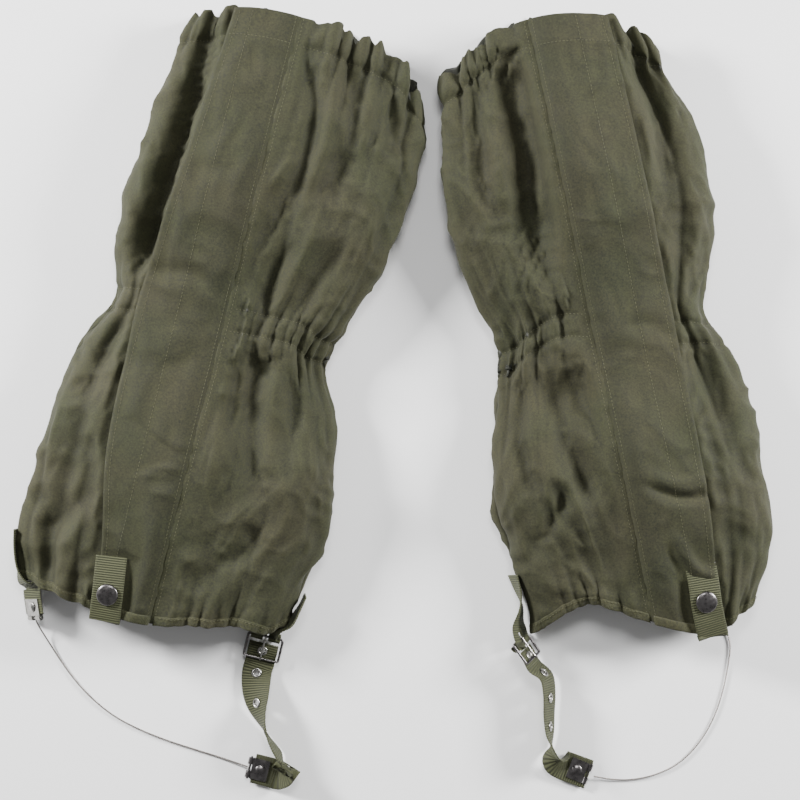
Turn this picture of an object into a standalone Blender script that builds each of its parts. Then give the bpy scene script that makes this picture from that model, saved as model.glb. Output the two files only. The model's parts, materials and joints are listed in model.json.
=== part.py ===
"""Pair of olive knee gaiters lying flat on their backs.

Each gaiter is laid out in its own frame, in millimetres: s runs across the leg (positive towards the
buckle side), y runs up the leg from the hem, and z is the height above the surface it lies on. The right
gaiter mirrors the left one, and each lies a little differently, as soft goods do.
"""
import math
from dataclasses import dataclass

import bmesh
import bpy
from mathutils import Matrix, Vector

MM = 0.001

# Cloth and webbing
FABRIC = 1.2
TAPE = 1.0
TAPE_WIDTH = 38.0
TAPE_INSET = 9.5
FLAP_STEP = 6.0
LAYER_GAP = 0.5
ELASTIC = 1.0
ELASTIC_INSET = 3.0
TOP_ELASTIC_WIDTH = 18.0
MID_ELASTIC_WIDTH = 16.0
BINDING_WIDTH = 8.0
BINDING = 1.6
WEBBING_WIDTH = 25.0
STRAP_WIDTH = 24.0
WEBBING = 1.4
SEAM_GAP = 0.6
BINDING_GAP = 1.6
SIDE_SEAM_TURN = 3.0

# Cross-section of the padded-out leg tube
SIDE_HEIGHT = 0.36
DOME_POWER = 2.3
CORNER_REACH = 34.0
BACK_HEM_RISE = 22.0
DEPTH = ((0.0, 36.0), (0.25, 52.0), (0.49, 42.0), (0.74, 56.0), (1.0, 42.0))
ROW_GAPS = 5
LEG = 480.0
TOP_ELASTIC_INSET = 3.0

# Closure flap, measured outward from the surface of the under-lap
LOOP_LIFT = LAYER_GAP + TAPE
HOOK_LIFT = LOOP_LIFT + LAYER_GAP + TAPE
FLAP_LIFT = HOOK_LIFT + LAYER_GAP + FABRIC
FLAP_ROOT_LIFT = LAYER_GAP + FABRIC

# Press stud
CAP_RADIUS = 8.5
CAP_HEIGHT = 3.0
SOCKET_RADIUS = 5.5
SOCKET_BORE = 2.6
SOCKET_HEIGHT = 1.9
STUD_RADIUS = 5.0
STUD_POST = 2.0
STUD_BASE = 0.7
STUD_HEIGHT = 2.5
CLEARANCE = 0.4

# Prong buckle
BUCKLE_WIDTH = 30.6
BUCKLE_LENGTH = 20.6
BUCKLE_WIRE = 1.1
BUCKLE_CORNER = 1.5
TONGUE_WIRE = 0.9
TONGUE_SLOT = 4.0

# Eyelets, strap ends and cable
EYELET_OUTER = 3.1
EYELET_BORE = 2.0
EYELET_HEIGHT = 2.6
EYELET_HOLE = 3.5
CLAMP_LENGTH = 13.0
CLAMP_WIDTH = 17.0
CLAMP_SHEET = 0.8
CLAMP_SLOT = WEBBING + 0.7
KNUCKLE_RADIUS = 2.2
KNUCKLE_BORE = 1.3
KNUCKLE_LENGTH = 5.5
KNUCKLE_INSET = 0.3
PIN_RADIUS = 0.9
PIN_LENGTH = 18.6
RIVET_HEAD = 4.2
RIVET_SHANK = 1.5
RIVET_HOLE = 1.9
CABLE_RADIUS = 0.6
CABLE_POINTS = 66

# Colours, as linear RGB
OLIVE = (0.075, 0.082, 0.045)
OLIVE_WEBBING = (0.088, 0.095, 0.052)
BLACK_TAPE = (0.02, 0.022, 0.018)
ELASTIC_GREY = (0.05, 0.055, 0.04)
DARK_NICKEL = (0.16, 0.15, 0.15)
BRIGHT_NICKEL = (0.55, 0.54, 0.52)
STEEL = (0.32, 0.30, 0.29)


@dataclass
class Gaiter:
    """How one gaiter lies. Outlines are (y, s) or (across, y) knots of smooth curves, in millimetres."""
    name: str
    hand: int
    place: tuple
    tilt: float
    outer_edge: tuple
    inner_edge: tuple
    hem_line: tuple
    rim_line: tuple
    flap_edge: tuple
    seam_hem: float
    seam_rim: float
    waist: float
    tab: tuple
    snap_at: float
    buckle_hanger: tuple
    clamp_hanger: tuple
    clamp_hanger_end: tuple
    strap: tuple
    strap_end: tuple
    eyelets_at: tuple
    buckle_at: tuple
    buckle_along: tuple
    buckle_normal: tuple
    cable: tuple
    swing_axis: tuple


LEFT = Gaiter(
    name="left",
    hand=1,
    place=(-183.0, -174.4),
    tilt=-14.0,
    outer_edge=((-6, -112), (20, -124), (45, -130), (110, -130), (155, -127), (200, -122), (238, -104),
                (262, -108), (305, -110), (350, -109), (400, -105), (440, -99), (476, -93)),
    inner_edge=((0, 90), (20, 94), (50, 102), (105, 108), (155, 101), (200, 85), (233, 70), (262, 82),
                (305, 96), (350, 104), (395, 105), (430, 101), (460, 93)),
    hem_line=((-1, 7), (-0.4, -3), (0, -4), (0.4, 5), (0.75, 11.5), (0.88, 10),
              (1, 22)),
    rim_line=((-1, 470), (-0.6, 487), (0, 491), (0.5, 485), (0.8, 476), (1, 453)),
    flap_edge=((0, -58), (47, -60), (122, -74), (245, -77), (300, -74), (370, -68), (490, -60)),
    seam_hem=-10.0,
    seam_rim=-10.0,
    waist=240.0,
    tab=((-51, 41, 0.0), (-49, 26, 2.6), (-47, 11, 4.2), (-46, 1, 3.6), (-45, -9, 1.0)),
    snap_at=2.0,
    buckle_hanger=((104.5, 46, 14.5, (0.1, 0.0, 1.0)), (101.5, 32, 14.0, (0.15, 0.0, 1.0)),
                   (96.5, 21, 13.0, (0.4, 0.0, 0.92)), (83.0, 13.5, 10.6, (1.0, 0.0, 0.1))),
    clamp_hanger=((-132.5, 42, 14.5, (-0.1, 0.0, 1.0)), (-130.0, 27, 14.2, (0.0, 0.0, 1.0)),
                  (-125.0, 12, 13.8, (0.1, 0.0, 1.0)), (-118.5, 1.5, 12.8, (0.4, 0.1, 0.9))),
    clamp_hanger_end=((-102.5, -21.5, 10.6), (0.38, -0.925, -0.04), (0.6, 0.25, 0.76)),
    strap=((81.5, -26, 4.2, (1.0, 0.0, 0.12)), (85.5, -42, 8.0, (0.86, 0.0, 0.5)),
           (93.0, -58, 12.0, (0.45, 0.0, 0.89)), (103.0, -72, 13.2, (0.0, 0.0, 1.0)),
           (115.0, -84, 13.0, (-0.3, 0.1, 0.94)), (123.0, -93.5, 11.4, (-0.2, 0.8, 0.55))),
    strap_end=((97.0, -100.0, 3.1), (-1.0, 0.0, 0.0), (0.0, 1.0, 0.0)),
    eyelets_at=(1.0, 3.9, 5.35, 6.75),
    buckle_at=(81.5, -3.4, 6.6),
    buckle_along=(0.0, -1.0, 0.0),
    buckle_normal=(0.0, 0.0, 1.0),
    cable=((-100.9, -25.7, 10.3), (-97.5, -30.5, 7.6), (-92.0, -36.5, 4.0), (-84.0, -44.5, 1.6),
           (-73.5, -54.5, 0.9), (-59.0, -66.5, 0.9), (-42.0, -77.5, 0.9), (-22.0, -86.5, 0.9),
           (0.0, -92.0, 0.9), (24.0, -95.3, 0.9), (48.0, -97.0, 0.9), (68.0, -98.2, 1.2),
           (82.0, -99.2, 2.2), (92.6, -100.0, 3.1)),
    swing_axis=((-116.0, 3.0, 15.0), (81.0, 5.6, 6.6)),
)

RIGHT = Gaiter(
    name="right",
    hand=-1,
    place=(199.0, -168.4),
    tilt=8.0,
    outer_edge=((-10, -86), (20, -103), (48, -113), (90, -117), (140, -113), (200, -102), (230, -90),
                (255, -98), (320, -113), (380, -106), (415, -94), (459, -81)),
    inner_edge=((0, 87), (30, 91), (60, 96), (98, 103), (140, 97), (200, 80), (230, 70), (262, 83),
                (315, 94), (395, 90), (445, 83), (470, 80)),
    hem_line=((-1, -6), (-0.7, -20), (-0.5, -22), (-0.15, -11), (0.2, 5), (0.45, 16), (0.75, 10), (1, 0)),
    rim_line=((-1, 441), (-0.68, 468), (-0.3, 478), (0.13, 480), (0.4, 476), (0.7, 464), (1, 446)),
    flap_edge=((-20, -59), (98, -63), (163, -62), (252, -60), (357, -57), (477, -51)),
    seam_hem=-6.0,
    seam_rim=10.0,
    waist=223.0,
    tab=((-50, 29, 0.0), (-50, 15, 2.6), (-49.5, 2, 4.2), (-50.0, -12, 3.6), (-51.0, -25, 1.0)),
    snap_at=2.0,
    buckle_hanger=((96.5, 47, 14.5, (-0.3, 0.0, 0.95)), (94.5, 32, 14.0, (-0.15, 0.0, 1.0)),
                   (94.5, 20, 13.5, (0.15, -0.05, 1.0)), (98.5, 7, 13.6, (0.43, -0.22, 0.87))),
    clamp_hanger=((-63.0, 44, 5.6, (0.98, 0.0, -0.2)), (-64.0, 28, 5.8, (0.98, 0.0, -0.2)),
                  (-65.0, 13, 6.2, (0.98, 0.05, -0.15))),
    clamp_hanger_end=((-64.0, -16.0, 3.3), (0.12, -0.98, -0.14), (0.99, 0.12, 0.0)),
    strap=((84.0, -38, 12.8, (0.46, -0.06, 0.88)), (84.0, -52, 12.8, (0.44, 0.0, 0.9)),
           (87.0, -68, 12.8, (0.4, 0.0, 0.92)), (89.0, -84, 13.0, (0.28, 0.0, 0.96)),
           (89.0, -98, 12.8, (-0.15, 0.0, 0.99)), (87.5, -106.5, 8.6, (-0.5, 0.6, 0.6))),
    strap_end=((63.5, -122.4, 3.1), (-0.86, -0.5, 0.0), (-0.5, 0.86, 0.0)),
    eyelets_at=(1.0, 3.7, 5.2, 6.6),
    buckle_at=(95.6, -16.2, 13.6),
    buckle_along=(-0.465, -0.885, 0.0),
    buckle_normal=(-0.77, 0.40, 0.49),
    cable=((-63.7, -20.6, 2.7), (-65.0, -25.5, 1.8), (-66.3, -32.0, 1.0), (-66.3, -41.0, 0.9),
           (-62.5, -54.0, 0.9), (-56.0, -71.0, 0.9), (-47.0, -89.0, 0.9), (-36.0, -104.5, 0.9),
           (-22.0, -118.0, 0.9), (-6.0, -127.5, 0.9), (12.0, -132.0, 0.9), (30.0, -132.5, 0.9),
           (46.0, -129.5, 1.5), (59.8, -124.5, 3.1)),
    swing_axis=((-66.0, 4.0, 4.0), (100.0, -7.8, 13.6)),
)


# Curves

def smooth(knots, x):
    """The value at x of a cubic curve through (x, value) knots, straight beyond its ends."""
    spans = list(zip(knots, knots[1:]))
    slopes = [(b[1] - a[1]) / (b[0] - a[0]) for a, b in spans]
    index = max(0, min(len(spans) - 1, sum(1 for knot in knots[1:-1] if knot[0] <= x)))
    (x0, y0), (x1, y1) = spans[index]
    before = slopes[max(index - 1, 0)]
    after = slopes[min(index + 1, len(slopes) - 1)]
    start = (before + slopes[index]) / 2
    end = (after + slopes[index]) / 2
    width = x1 - x0
    t = (x - x0) / width
    if t < 0:
        return y0 + start * (x - x0)
    if t > 1:
        return y1 + end * (x - x1)
    rise = y1 - y0
    cubic = (start + end) * width - 2 * rise
    square = 3 * rise - (2 * start + end) * width
    return y0 + start * width * t + square * t * t + cubic * t ** 3


def along_points(points, at):
    """The vector at station number `at`, on a smooth curve through the points."""
    size = len(points[0])
    columns = [[(number, point[axis]) for number, point in enumerate(points)] for axis in range(size)]
    return Vector([smooth(column, at) for column in columns])


# The skin of a leg tube

def height_on_leg(gaiter, v, across):
    """The y of the skin a fraction v from hem to rim, at `across` from -1 (outer side) to 1 (inner)."""
    hem = smooth(gaiter.hem_line, across)
    return hem + v * (smooth(gaiter.rim_line, across) - hem)


def half_width(gaiter, v):
    """Middle and half-width of the leg tube at v."""
    outer = smooth(gaiter.outer_edge, height_on_leg(gaiter, v, -1.0))
    inner = smooth(gaiter.inner_edge, height_on_leg(gaiter, v, 1.0))
    return (inner + outer) / 2, (inner - outer) / 2


def section(gaiter, v, turn):
    """(s, z) on the cross-section at v. turn is 0 at the inner side, 90 on top, 180 at the outer side,
    and 225 to 315 along the flat underside."""
    middle, reach = half_width(gaiter, v)
    depth = smooth(DEPTH, v)
    side = SIDE_HEIGHT * depth
    turn = turn % 360.0
    if turn <= 180.0:
        angle = math.radians(turn)
        across = math.copysign(abs(math.cos(angle)) ** (2 / DOME_POWER), math.cos(angle))
        rise = abs(math.sin(angle)) ** (2 / DOME_POWER)
        return middle + reach * across, side + (depth - side) * rise
    direction = -1 if turn < 270.0 else 1
    corner = min(45.0, turn - 180.0, 360.0 - turn) / 45.0
    angle = math.radians(90.0 * corner)
    if 225.0 < turn < 315.0:
        share = (turn - 270.0) / 45.0
        return middle + share * (reach - CORNER_REACH), 0.0
    s = middle + direction * (reach - CORNER_REACH + CORNER_REACH * math.cos(angle))
    return s, side * (1 - math.sin(angle))


def back_rise(turn):
    """How much higher the hem sits behind than in front, from 0 at the sides to 1."""
    turn = turn % 360.0
    share = max(0.0, min(1.0, min(turn - 180.0, 360.0 - turn) / 20.0))
    return share * share * (3 - 2 * share)


def skin(gaiter, v, turn, lift=0.0):
    """A point of the leg tube's outer surface, moved out by lift."""
    s, z = section(gaiter, v, turn)
    s_next, z_next = section(gaiter, v, turn + 0.2)
    s_last, z_last = section(gaiter, v, turn - 0.2)
    tangent = Vector((s_next - s_last, z_next - z_last)).normalized()
    middle, reach = half_width(gaiter, v)
    across = max(-1.0, min(1.0, (s - middle) / reach))
    y = height_on_leg(gaiter, v, across) + (1 - v) * BACK_HEM_RISE * back_rise(turn)
    return Vector((s + tangent.y * lift, y, z - tangent.x * lift))


def turn_at(gaiter, v, s):
    """The turn at which the top surface has this s."""
    middle, reach = half_width(gaiter, v)
    across = max(-1.0, min(1.0, (s - middle) / reach))
    cosine = math.copysign(abs(across) ** (DOME_POWER / 2), across)
    return math.degrees(math.acos(cosine))


def seam(gaiter, v):
    """The s of the closure seam at v."""
    return gaiter.seam_hem + v * (gaiter.seam_rim - gaiter.seam_hem)


def flap_edge(gaiter, v):
    """The s of the flap's free edge at v."""
    return smooth(gaiter.flap_edge, height_on_leg(gaiter, v, -0.6))


def v_at(gaiter, s, y):
    """The fraction from hem to rim of the point (s, y) on the top surface."""
    v = y / LEG
    for _ in range(4):
        middle, reach = half_width(gaiter, v)
        across = (s - middle) / reach
        hem = smooth(gaiter.hem_line, across)
        v = (y - hem) / (smooth(gaiter.rim_line, across) - hem)
    return v


def rows_of(gaiter):
    """The fractions from hem to rim of a panel's rows, with a row on each edge of each elastic."""
    middle = v_at(gaiter, 60.0, gaiter.waist)
    half = MID_ELASTIC_WIDTH / 2 / LEG
    top = 1.0 - TOP_ELASTIC_INSET / LEG
    low = steps(BINDING_WIDTH / LEG, middle - half, ROW_GAPS + 1)
    high = steps(middle + half, top - TOP_ELASTIC_WIDTH / LEG, ROW_GAPS + 1)
    return low + [middle] + high + [top, 1.0]


def steps(start, end, count):
    """count evenly spaced values from start to end."""
    return [start + (end - start) * number / (count - 1) for number in range(count)]


# Objects

def material(name, colour, roughness, metallic=0.0):
    """A Principled material, made once and then shared."""
    made = bpy.data.materials.get(name)
    if made:
        return made
    made = bpy.data.materials.new(name)
    made.use_nodes = True
    shader = made.node_tree.nodes["Principled BSDF"]
    shader.inputs["Base Color"].default_value = (*colour, 1.0)
    shader.inputs["Roughness"].default_value = roughness
    shader.inputs["Metallic"].default_value = metallic
    made.diffuse_color = (*colour, 1.0)
    return made


def cloth():
    return material("olive_cloth", OLIVE, 0.85)


def webbing():
    return material("olive_webbing", OLIVE_WEBBING, 0.8)


def dark_metal():
    return material("dark_nickel", DARK_NICKEL, 0.3, 1.0)


def bright_metal():
    return material("bright_nickel", BRIGHT_NICKEL, 0.25, 1.0)


def link(name, data, look, group="gaiters"):
    """A new object in a collection, with its material."""
    made = bpy.data.objects.new(name, data)
    bpy.data.collections[group].objects.link(made)
    if look:
        made.data.materials.append(look)
    return made


def cutter_from(made):
    """Turn an object into a hidden cutter."""
    for group in list(made.users_collection):
        group.objects.unlink(made)
    bpy.data.collections["cutters"].objects.link(made)
    made.hide_render = True
    made.display_type = "WIRE"
    return made


def boolean(target, other, operation):
    """Join or cut a target with another object, which becomes a cutter."""
    change = target.modifiers.new(operation.lower(), "BOOLEAN")
    change.operation = operation
    change.solver = "EXACT"
    change.object = cutter_from(other)


def frozen(made):
    """The object with its modifiers applied."""
    bpy.context.view_layer.update()
    result = bpy.data.meshes.new_from_object(made.evaluated_get(bpy.context.evaluated_depsgraph_get()))
    made.modifiers.clear()
    old = made.data
    if made.type == "CURVE":
        replacement = bpy.data.objects.new(made.name + "_mesh", result)
        replacement.matrix_world = made.matrix_world
        for group in made.users_collection:
            group.objects.link(replacement)
        weld(replacement)
        name = made.name
        bpy.data.objects.remove(made)
        replacement.name = name
        return replacement
    made.data = result
    bpy.data.meshes.remove(old)
    return made


def weld(made):
    """Join a mesh's loose caps."""
    shape = bmesh.new()
    shape.from_mesh(made.data)
    bmesh.ops.remove_doubles(shape, verts=shape.verts, dist=0.00001)
    bmesh.ops.recalc_face_normals(shape, faces=shape.faces)
    shape.to_mesh(made.data)
    shape.free()


def to_local(gaiter, point):
    """A layout point in metres, mirrored for the right gaiter."""
    return Vector((gaiter.hand * point[0], point[1], point[2])) * MM


def local_frame(gaiter, origin, along, normal):
    """The matrix at a layout point with X along the piece and Z along its normal."""
    x_axis = Vector((gaiter.hand * along[0], along[1], along[2])).normalized()
    z_axis = Vector((gaiter.hand * normal[0], normal[1], normal[2]))
    z_axis = (z_axis - x_axis * z_axis.dot(x_axis)).normalized()
    y_axis = z_axis.cross(x_axis)
    turned = Matrix((x_axis, y_axis, z_axis)).transposed().to_4x4()
    return Matrix.Translation(to_local(gaiter, origin)) @ turned


def settle(gaiter, made, pivot=None):
    """Hang a piece on its gaiter's frame, with its origin on its joint's axis if it has one."""
    if pivot is not None:
        origin = Matrix.Translation(to_local(gaiter, pivot))
        made.data.transform(origin.inverted() @ made.matrix_basis)
        made.matrix_basis = origin
    made.parent = bpy.data.objects[gaiter.name + "_frame"]
    return made


def sheet(name, gaiter, rows, thickness, look, offset=-1.0, opening=()):
    """A panel of cloth: an open grid of layout points with Solidify. opening lists the (row, column)
    places that are left out as a slot."""
    mesh = bpy.data.meshes.new(name)
    points = [to_local(gaiter, point) for row in rows for point in row]
    across = len(rows[0])
    faces = []
    for row in range(len(rows) - 1):
        for column in range(across - 1):
            if (row, column) in opening:
                continue
            a = row * across + column
            b, c, d = a + 1, a + across + 1, a + across
            faces += [(a, b, c), (a, c, d)]
    if gaiter.hand > 0:
        faces = [face[::-1] for face in faces]
    mesh.from_pydata(points, [], faces)
    mesh.shade_smooth()
    made = link(name, mesh, look)
    shell = made.modifiers.new("thickness", "SOLIDIFY")
    shell.thickness = thickness * MM
    shell.offset = offset
    return made


def ribbon_frame(stations, at):
    """Centre, direction, width direction and normal of a strip of webbing at a station number."""
    flat = [(*station[:3], *station[3]) for station in stations]
    here = along_points(flat, at)
    step = 0.02
    ahead = along_points(flat, at + step)
    behind = along_points(flat, at - step)
    centre = Vector(here[:3])
    along = (Vector(ahead[:3]) - Vector(behind[:3])).normalized()
    width = Vector(here[3:])
    width = (width - along * width.dot(along)).normalized()
    return centre, along, width, width.cross(along)


def buckle_axes(gaiter):
    """The buckle's directions in the layout: down the leg, across the strap and out of its face."""
    along = Vector(gaiter.buckle_along).normalized()
    face = Vector(gaiter.buckle_normal)
    face = (face - along * face.dot(along)).normalized()
    return along, face.cross(along), face


def buckle_stations(gaiter, places):
    """Stations at (distance down the leg, height off the frame) places in the buckle."""
    along, across, face = buckle_axes(gaiter)
    if across.z < 0 or (across.z == 0 and across.x < 0):
        across = -across
    middle = Vector(gaiter.buckle_at)
    return tuple((*(middle + along * down + face * up), tuple(across)) for down, up in places)


def straight_end(end):
    """The last stations of a strip whose end lies straight in its clamp."""
    point, along, width = Vector(end[0]), Vector(end[1]).normalized(), end[2]
    return tuple((*(point - along * back), width) for back in (CLAMP_LENGTH + 9.0, CLAMP_LENGTH + 1.0, 0.0))


def buckle_hanger_stations(gaiter):
    """Down the side of the leg and once round the buckle's upper bar."""
    bar = -(BUCKLE_LENGTH / 2 - BUCKLE_WIRE)
    reach = BUCKLE_WIRE + 1.2 + WEBBING / 2
    places = ((bar - 1.6, reach), (bar + 0.4, reach), (bar + reach * 0.85, reach * 0.55),
              (bar + reach * 0.85, -reach * 0.55), (bar + 0.4, -reach), (bar - 2.2, -reach))
    return gaiter.buckle_hanger + buckle_stations(gaiter, places)


def strap_stations(gaiter):
    """From its end inside the buckle, under the lower bar, down to its clamp."""
    bar = BUCKLE_LENGTH / 2 - BUCKLE_WIRE
    under = -BUCKLE_WIRE - 0.6 - WEBBING / 2
    places = ((-3.5, -0.6), (bar * 0.3, -1.0), (bar, under), (bar + 4.0, under))
    return buckle_stations(gaiter, places) + gaiter.strap + straight_end(gaiter.strap_end)


def clamp_hanger_stations(gaiter):
    return gaiter.clamp_hanger + straight_end(gaiter.clamp_hanger_end)


def ribbon(name, gaiter, stations, wide=STRAP_WIDTH, per_span=2, slot_from=None):
    """A strip of webbing through hand-placed stations, slotted down its middle from a station on."""
    count = (len(stations) - 1) * per_span + 1
    middle = 0.4 if slot_from is None else TONGUE_SLOT / wide
    rows = []
    for at in steps(0.0, len(stations) - 1.0, count):
        centre, _, width, _ = ribbon_frame(stations, at)
        rows.append([centre + width * (side * wide / 2) for side in (-1.0, -middle, middle, 1.0)])
    opening = []
    if slot_from is not None:
        opening = [(row, 1) for row in range(slot_from * per_span - 2, count)]
    return sheet(name, gaiter, rows, WEBBING, webbing(), offset=0.0, opening=opening)


def turned(name, profile, matrix, look, steps_round=16, closed=False):
    """A body turned about its own Z from a profile of (radius, height), outer side top to bottom."""
    mesh = bpy.data.meshes.new(name)
    points = [(radius * MM, 0.0, height * MM) for radius, height in profile]
    edges = [(number, number + 1) for number in range(len(points) - 1)]
    if closed:
        edges.append((len(points) - 1, 0))
    mesh.from_pydata(points, edges, [])
    made = link(name, mesh, look)
    made.matrix_basis = matrix
    screw = made.modifiers.new("turn", "SCREW")
    screw.steps = steps_round
    screw.render_steps = steps_round
    screw.use_merge_vertices = True
    screw.merge_threshold = 0.00001
    return frozen(made)


def wire(name, points, radius, look, cyclic=False, resolution=2):
    """A round bar or cable along metre points."""
    curve = bpy.data.curves.new(name, "CURVE")
    curve.dimensions = "3D"
    curve.bevel_depth = radius * MM
    curve.bevel_resolution = resolution
    curve.use_fill_caps = not cyclic
    line = curve.splines.new("POLY")
    line.points.add(len(points) - 1)
    for point, place in zip(line.points, points):
        point.co = (*place, 1.0)
    line.use_cyclic_u = cyclic
    return link(name, curve, look)


def cylinder(name, radius, length, matrix, look=None, sides=16):
    """A plain cylinder about the Z of its matrix."""
    mesh = bpy.data.meshes.new(name)
    shape = bmesh.new()
    bmesh.ops.create_cone(shape, cap_ends=True, segments=sides, radius1=radius * MM, radius2=radius * MM,
                          depth=length * MM)
    shape.to_mesh(mesh)
    shape.free()
    made = link(name, mesh, look)
    made.matrix_basis = matrix
    return made


# Cloth pieces

def top_rows(gaiter, columns_at, lifts, heights):
    """Rows of skin points where columns_at(v) gives the s of each column and lifts its height."""
    rows = []
    for v in heights:
        columns = columns_at(v)
        rows.append([skin(gaiter, v, turn_at(gaiter, v, s), lift) for s, lift in zip(columns, lifts)])
    return rows


def tape_columns(gaiter, v):
    """The s of the closure tape's columns at v, from the seam outwards."""
    return [seam(gaiter, v) - inset for inset in steps(TAPE_INSET, TAPE_INSET + TAPE_WIDTH, 4)]


def back_panel(gaiter):
    """The calf panel, flat underneath and turned up at both side seams."""
    outer = steps(180.0 + SIDE_SEAM_TURN, 225.0, 5)
    inner = steps(315.0, 360.0 - SIDE_SEAM_TURN, 5)
    turns = outer + [270.0] + inner
    rows = []
    for v in rows_of(gaiter):
        rows.append([skin(gaiter, v, turn) for turn in turns])
    return sheet(gaiter.name + "_back_panel", gaiter, rows, FABRIC, cloth())


def front_panel(gaiter):
    """The inner front panel, from the inner side seam to the closure seam."""
    rows = []
    for v in rows_of(gaiter):
        rows.append([skin(gaiter, v, turn) for turn in steps(0.0, turn_at(gaiter, v, seam(gaiter, v)), 9)])
    return sheet(gaiter.name + "_front_panel", gaiter, rows, FABRIC, cloth())


def outer_panel(gaiter):
    """The outer front panel, running on under the flap as its under-lap."""
    rows = []
    for v in rows_of(gaiter):
        tape = tape_columns(gaiter, v)
        lap_edge = turn_at(gaiter, v, seam(gaiter, v) - SEAM_GAP)
        turns = [lap_edge] + [turn_at(gaiter, v, s) for s in tape]
        turns += steps(turn_at(gaiter, v, flap_edge(gaiter, v)), 180.0, 5)
        rows.append([skin(gaiter, v, turn) for turn in turns])
    return sheet(gaiter.name + "_outer_panel", gaiter, rows, FABRIC, cloth())


def flap_columns(gaiter, v):
    """The s of the flap's columns at v: its root, the tape's columns and its free edge."""
    root = [seam(gaiter, v) - SEAM_GAP, seam(gaiter, v) - FLAP_STEP]
    return root + tape_columns(gaiter, v) + [flap_edge(gaiter, v)]


def flap_axis(gaiter):
    """Two layout points on the flap's hinge line, no lower than any of its root."""
    height = max(skin(gaiter, v, turn_at(gaiter, v, seam(gaiter, v)), FLAP_ROOT_LIFT).z
                 for v in rows_of(gaiter))
    low = skin(gaiter, 0.0, turn_at(gaiter, 0.0, seam(gaiter, 0.0)))
    high = skin(gaiter, 1.0, turn_at(gaiter, 1.0, seam(gaiter, 1.0)))
    return Vector((low.x, low.y, height)), Vector((high.x, high.y, height))


def flap(gaiter):
    """The closure flap and its two closure tapes."""
    pivot = flap_axis(gaiter)[0]
    lifts = [FLAP_ROOT_LIFT] + [FLAP_LIFT] * 6
    heights = rows_of(gaiter)
    rows = top_rows(gaiter, lambda v: flap_columns(gaiter, v), lifts, [0.0] + heights[1:])
    settle(gaiter, sheet(gaiter.name + "_flap_panel", gaiter, rows, FABRIC, cloth()), pivot)
    for name, lift, moves in (("hook_tape", HOOK_LIFT, True), ("loop_tape", LOOP_LIFT, False)):
        rows = top_rows(gaiter, lambda v: tape_columns(gaiter, v), [lift] * 4, heights[1:-2])
        made = sheet(gaiter.name + "_" + name, gaiter, rows, TAPE, material("closure_tape", BLACK_TAPE, 0.9))
        settle(gaiter, made, pivot if moves else None)


def round_the_leg(gaiter, name, heights, lift, thickness, look):
    """A band round the leg from the closure seam, round the back, to the under-lap's edge."""
    rows = []
    for v in heights:
        start = turn_at(gaiter, v, seam(gaiter, v) + SEAM_GAP)
        end = turn_at(gaiter, v, seam(gaiter, v) - SEAM_GAP)
        turns = steps(start, 0.0, 9)[:-1] + steps(360.0, 315.0, 5) + [270.0]
        turns += steps(225.0, 180.0, 5) + steps(180.0, end, 9)[1:]
        rows.append([skin(gaiter, v, turn, lift) for turn in reversed(turns)])
    return sheet(gaiter.name + "_" + name, gaiter, rows, thickness, look)


def elastics(gaiter):
    """The elastic bands in the top casing and in the channel under the knee, and the bound hem."""
    look = material("elastic_band", ELASTIC_GREY, 0.9)
    inset = -FABRIC - ELASTIC_INSET + ELASTIC
    heights = rows_of(gaiter)
    round_the_leg(gaiter, "top_elastic", heights[-3:-1], inset, ELASTIC, look)
    round_the_leg(gaiter, "mid_elastic", heights[ROW_GAPS:ROW_GAPS + 3], inset, ELASTIC, look)
    hem = (0.0, (BINDING_WIDTH - BINDING_GAP) / LEG)
    round_the_leg(gaiter, "hem_binding", hem, 0.0, BINDING, cloth())
    for name in ("top_elastic", "mid_elastic", "hem_binding"):
        settle(gaiter, bpy.data.objects[gaiter.name + "_" + name])


# Snap tab

def tab_stations(gaiter):
    """The snap tab's stations, lying on the flap and standing off it at the press stud."""
    stations = []
    for s, y, stand_off in gaiter.tab:
        v = max(v_at(gaiter, s, y), 0.0)
        lift = FLAP_LIFT + LAYER_GAP + WEBBING / 2 + stand_off
        z = skin(gaiter, v, turn_at(gaiter, v, s), lift).z
        stations.append((s, y, z, (1.0, 0.0, tab_slope(gaiter, v, s))))
    return stations


def tab_slope(gaiter, v, s):
    """How fast the flap's surface rises across the tab."""
    half = WEBBING_WIDTH / 2
    left = skin(gaiter, v, turn_at(gaiter, v, s - half))
    right = skin(gaiter, v, turn_at(gaiter, v, s + half))
    return (right.z - left.z) / (right.x - left.x)


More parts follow.
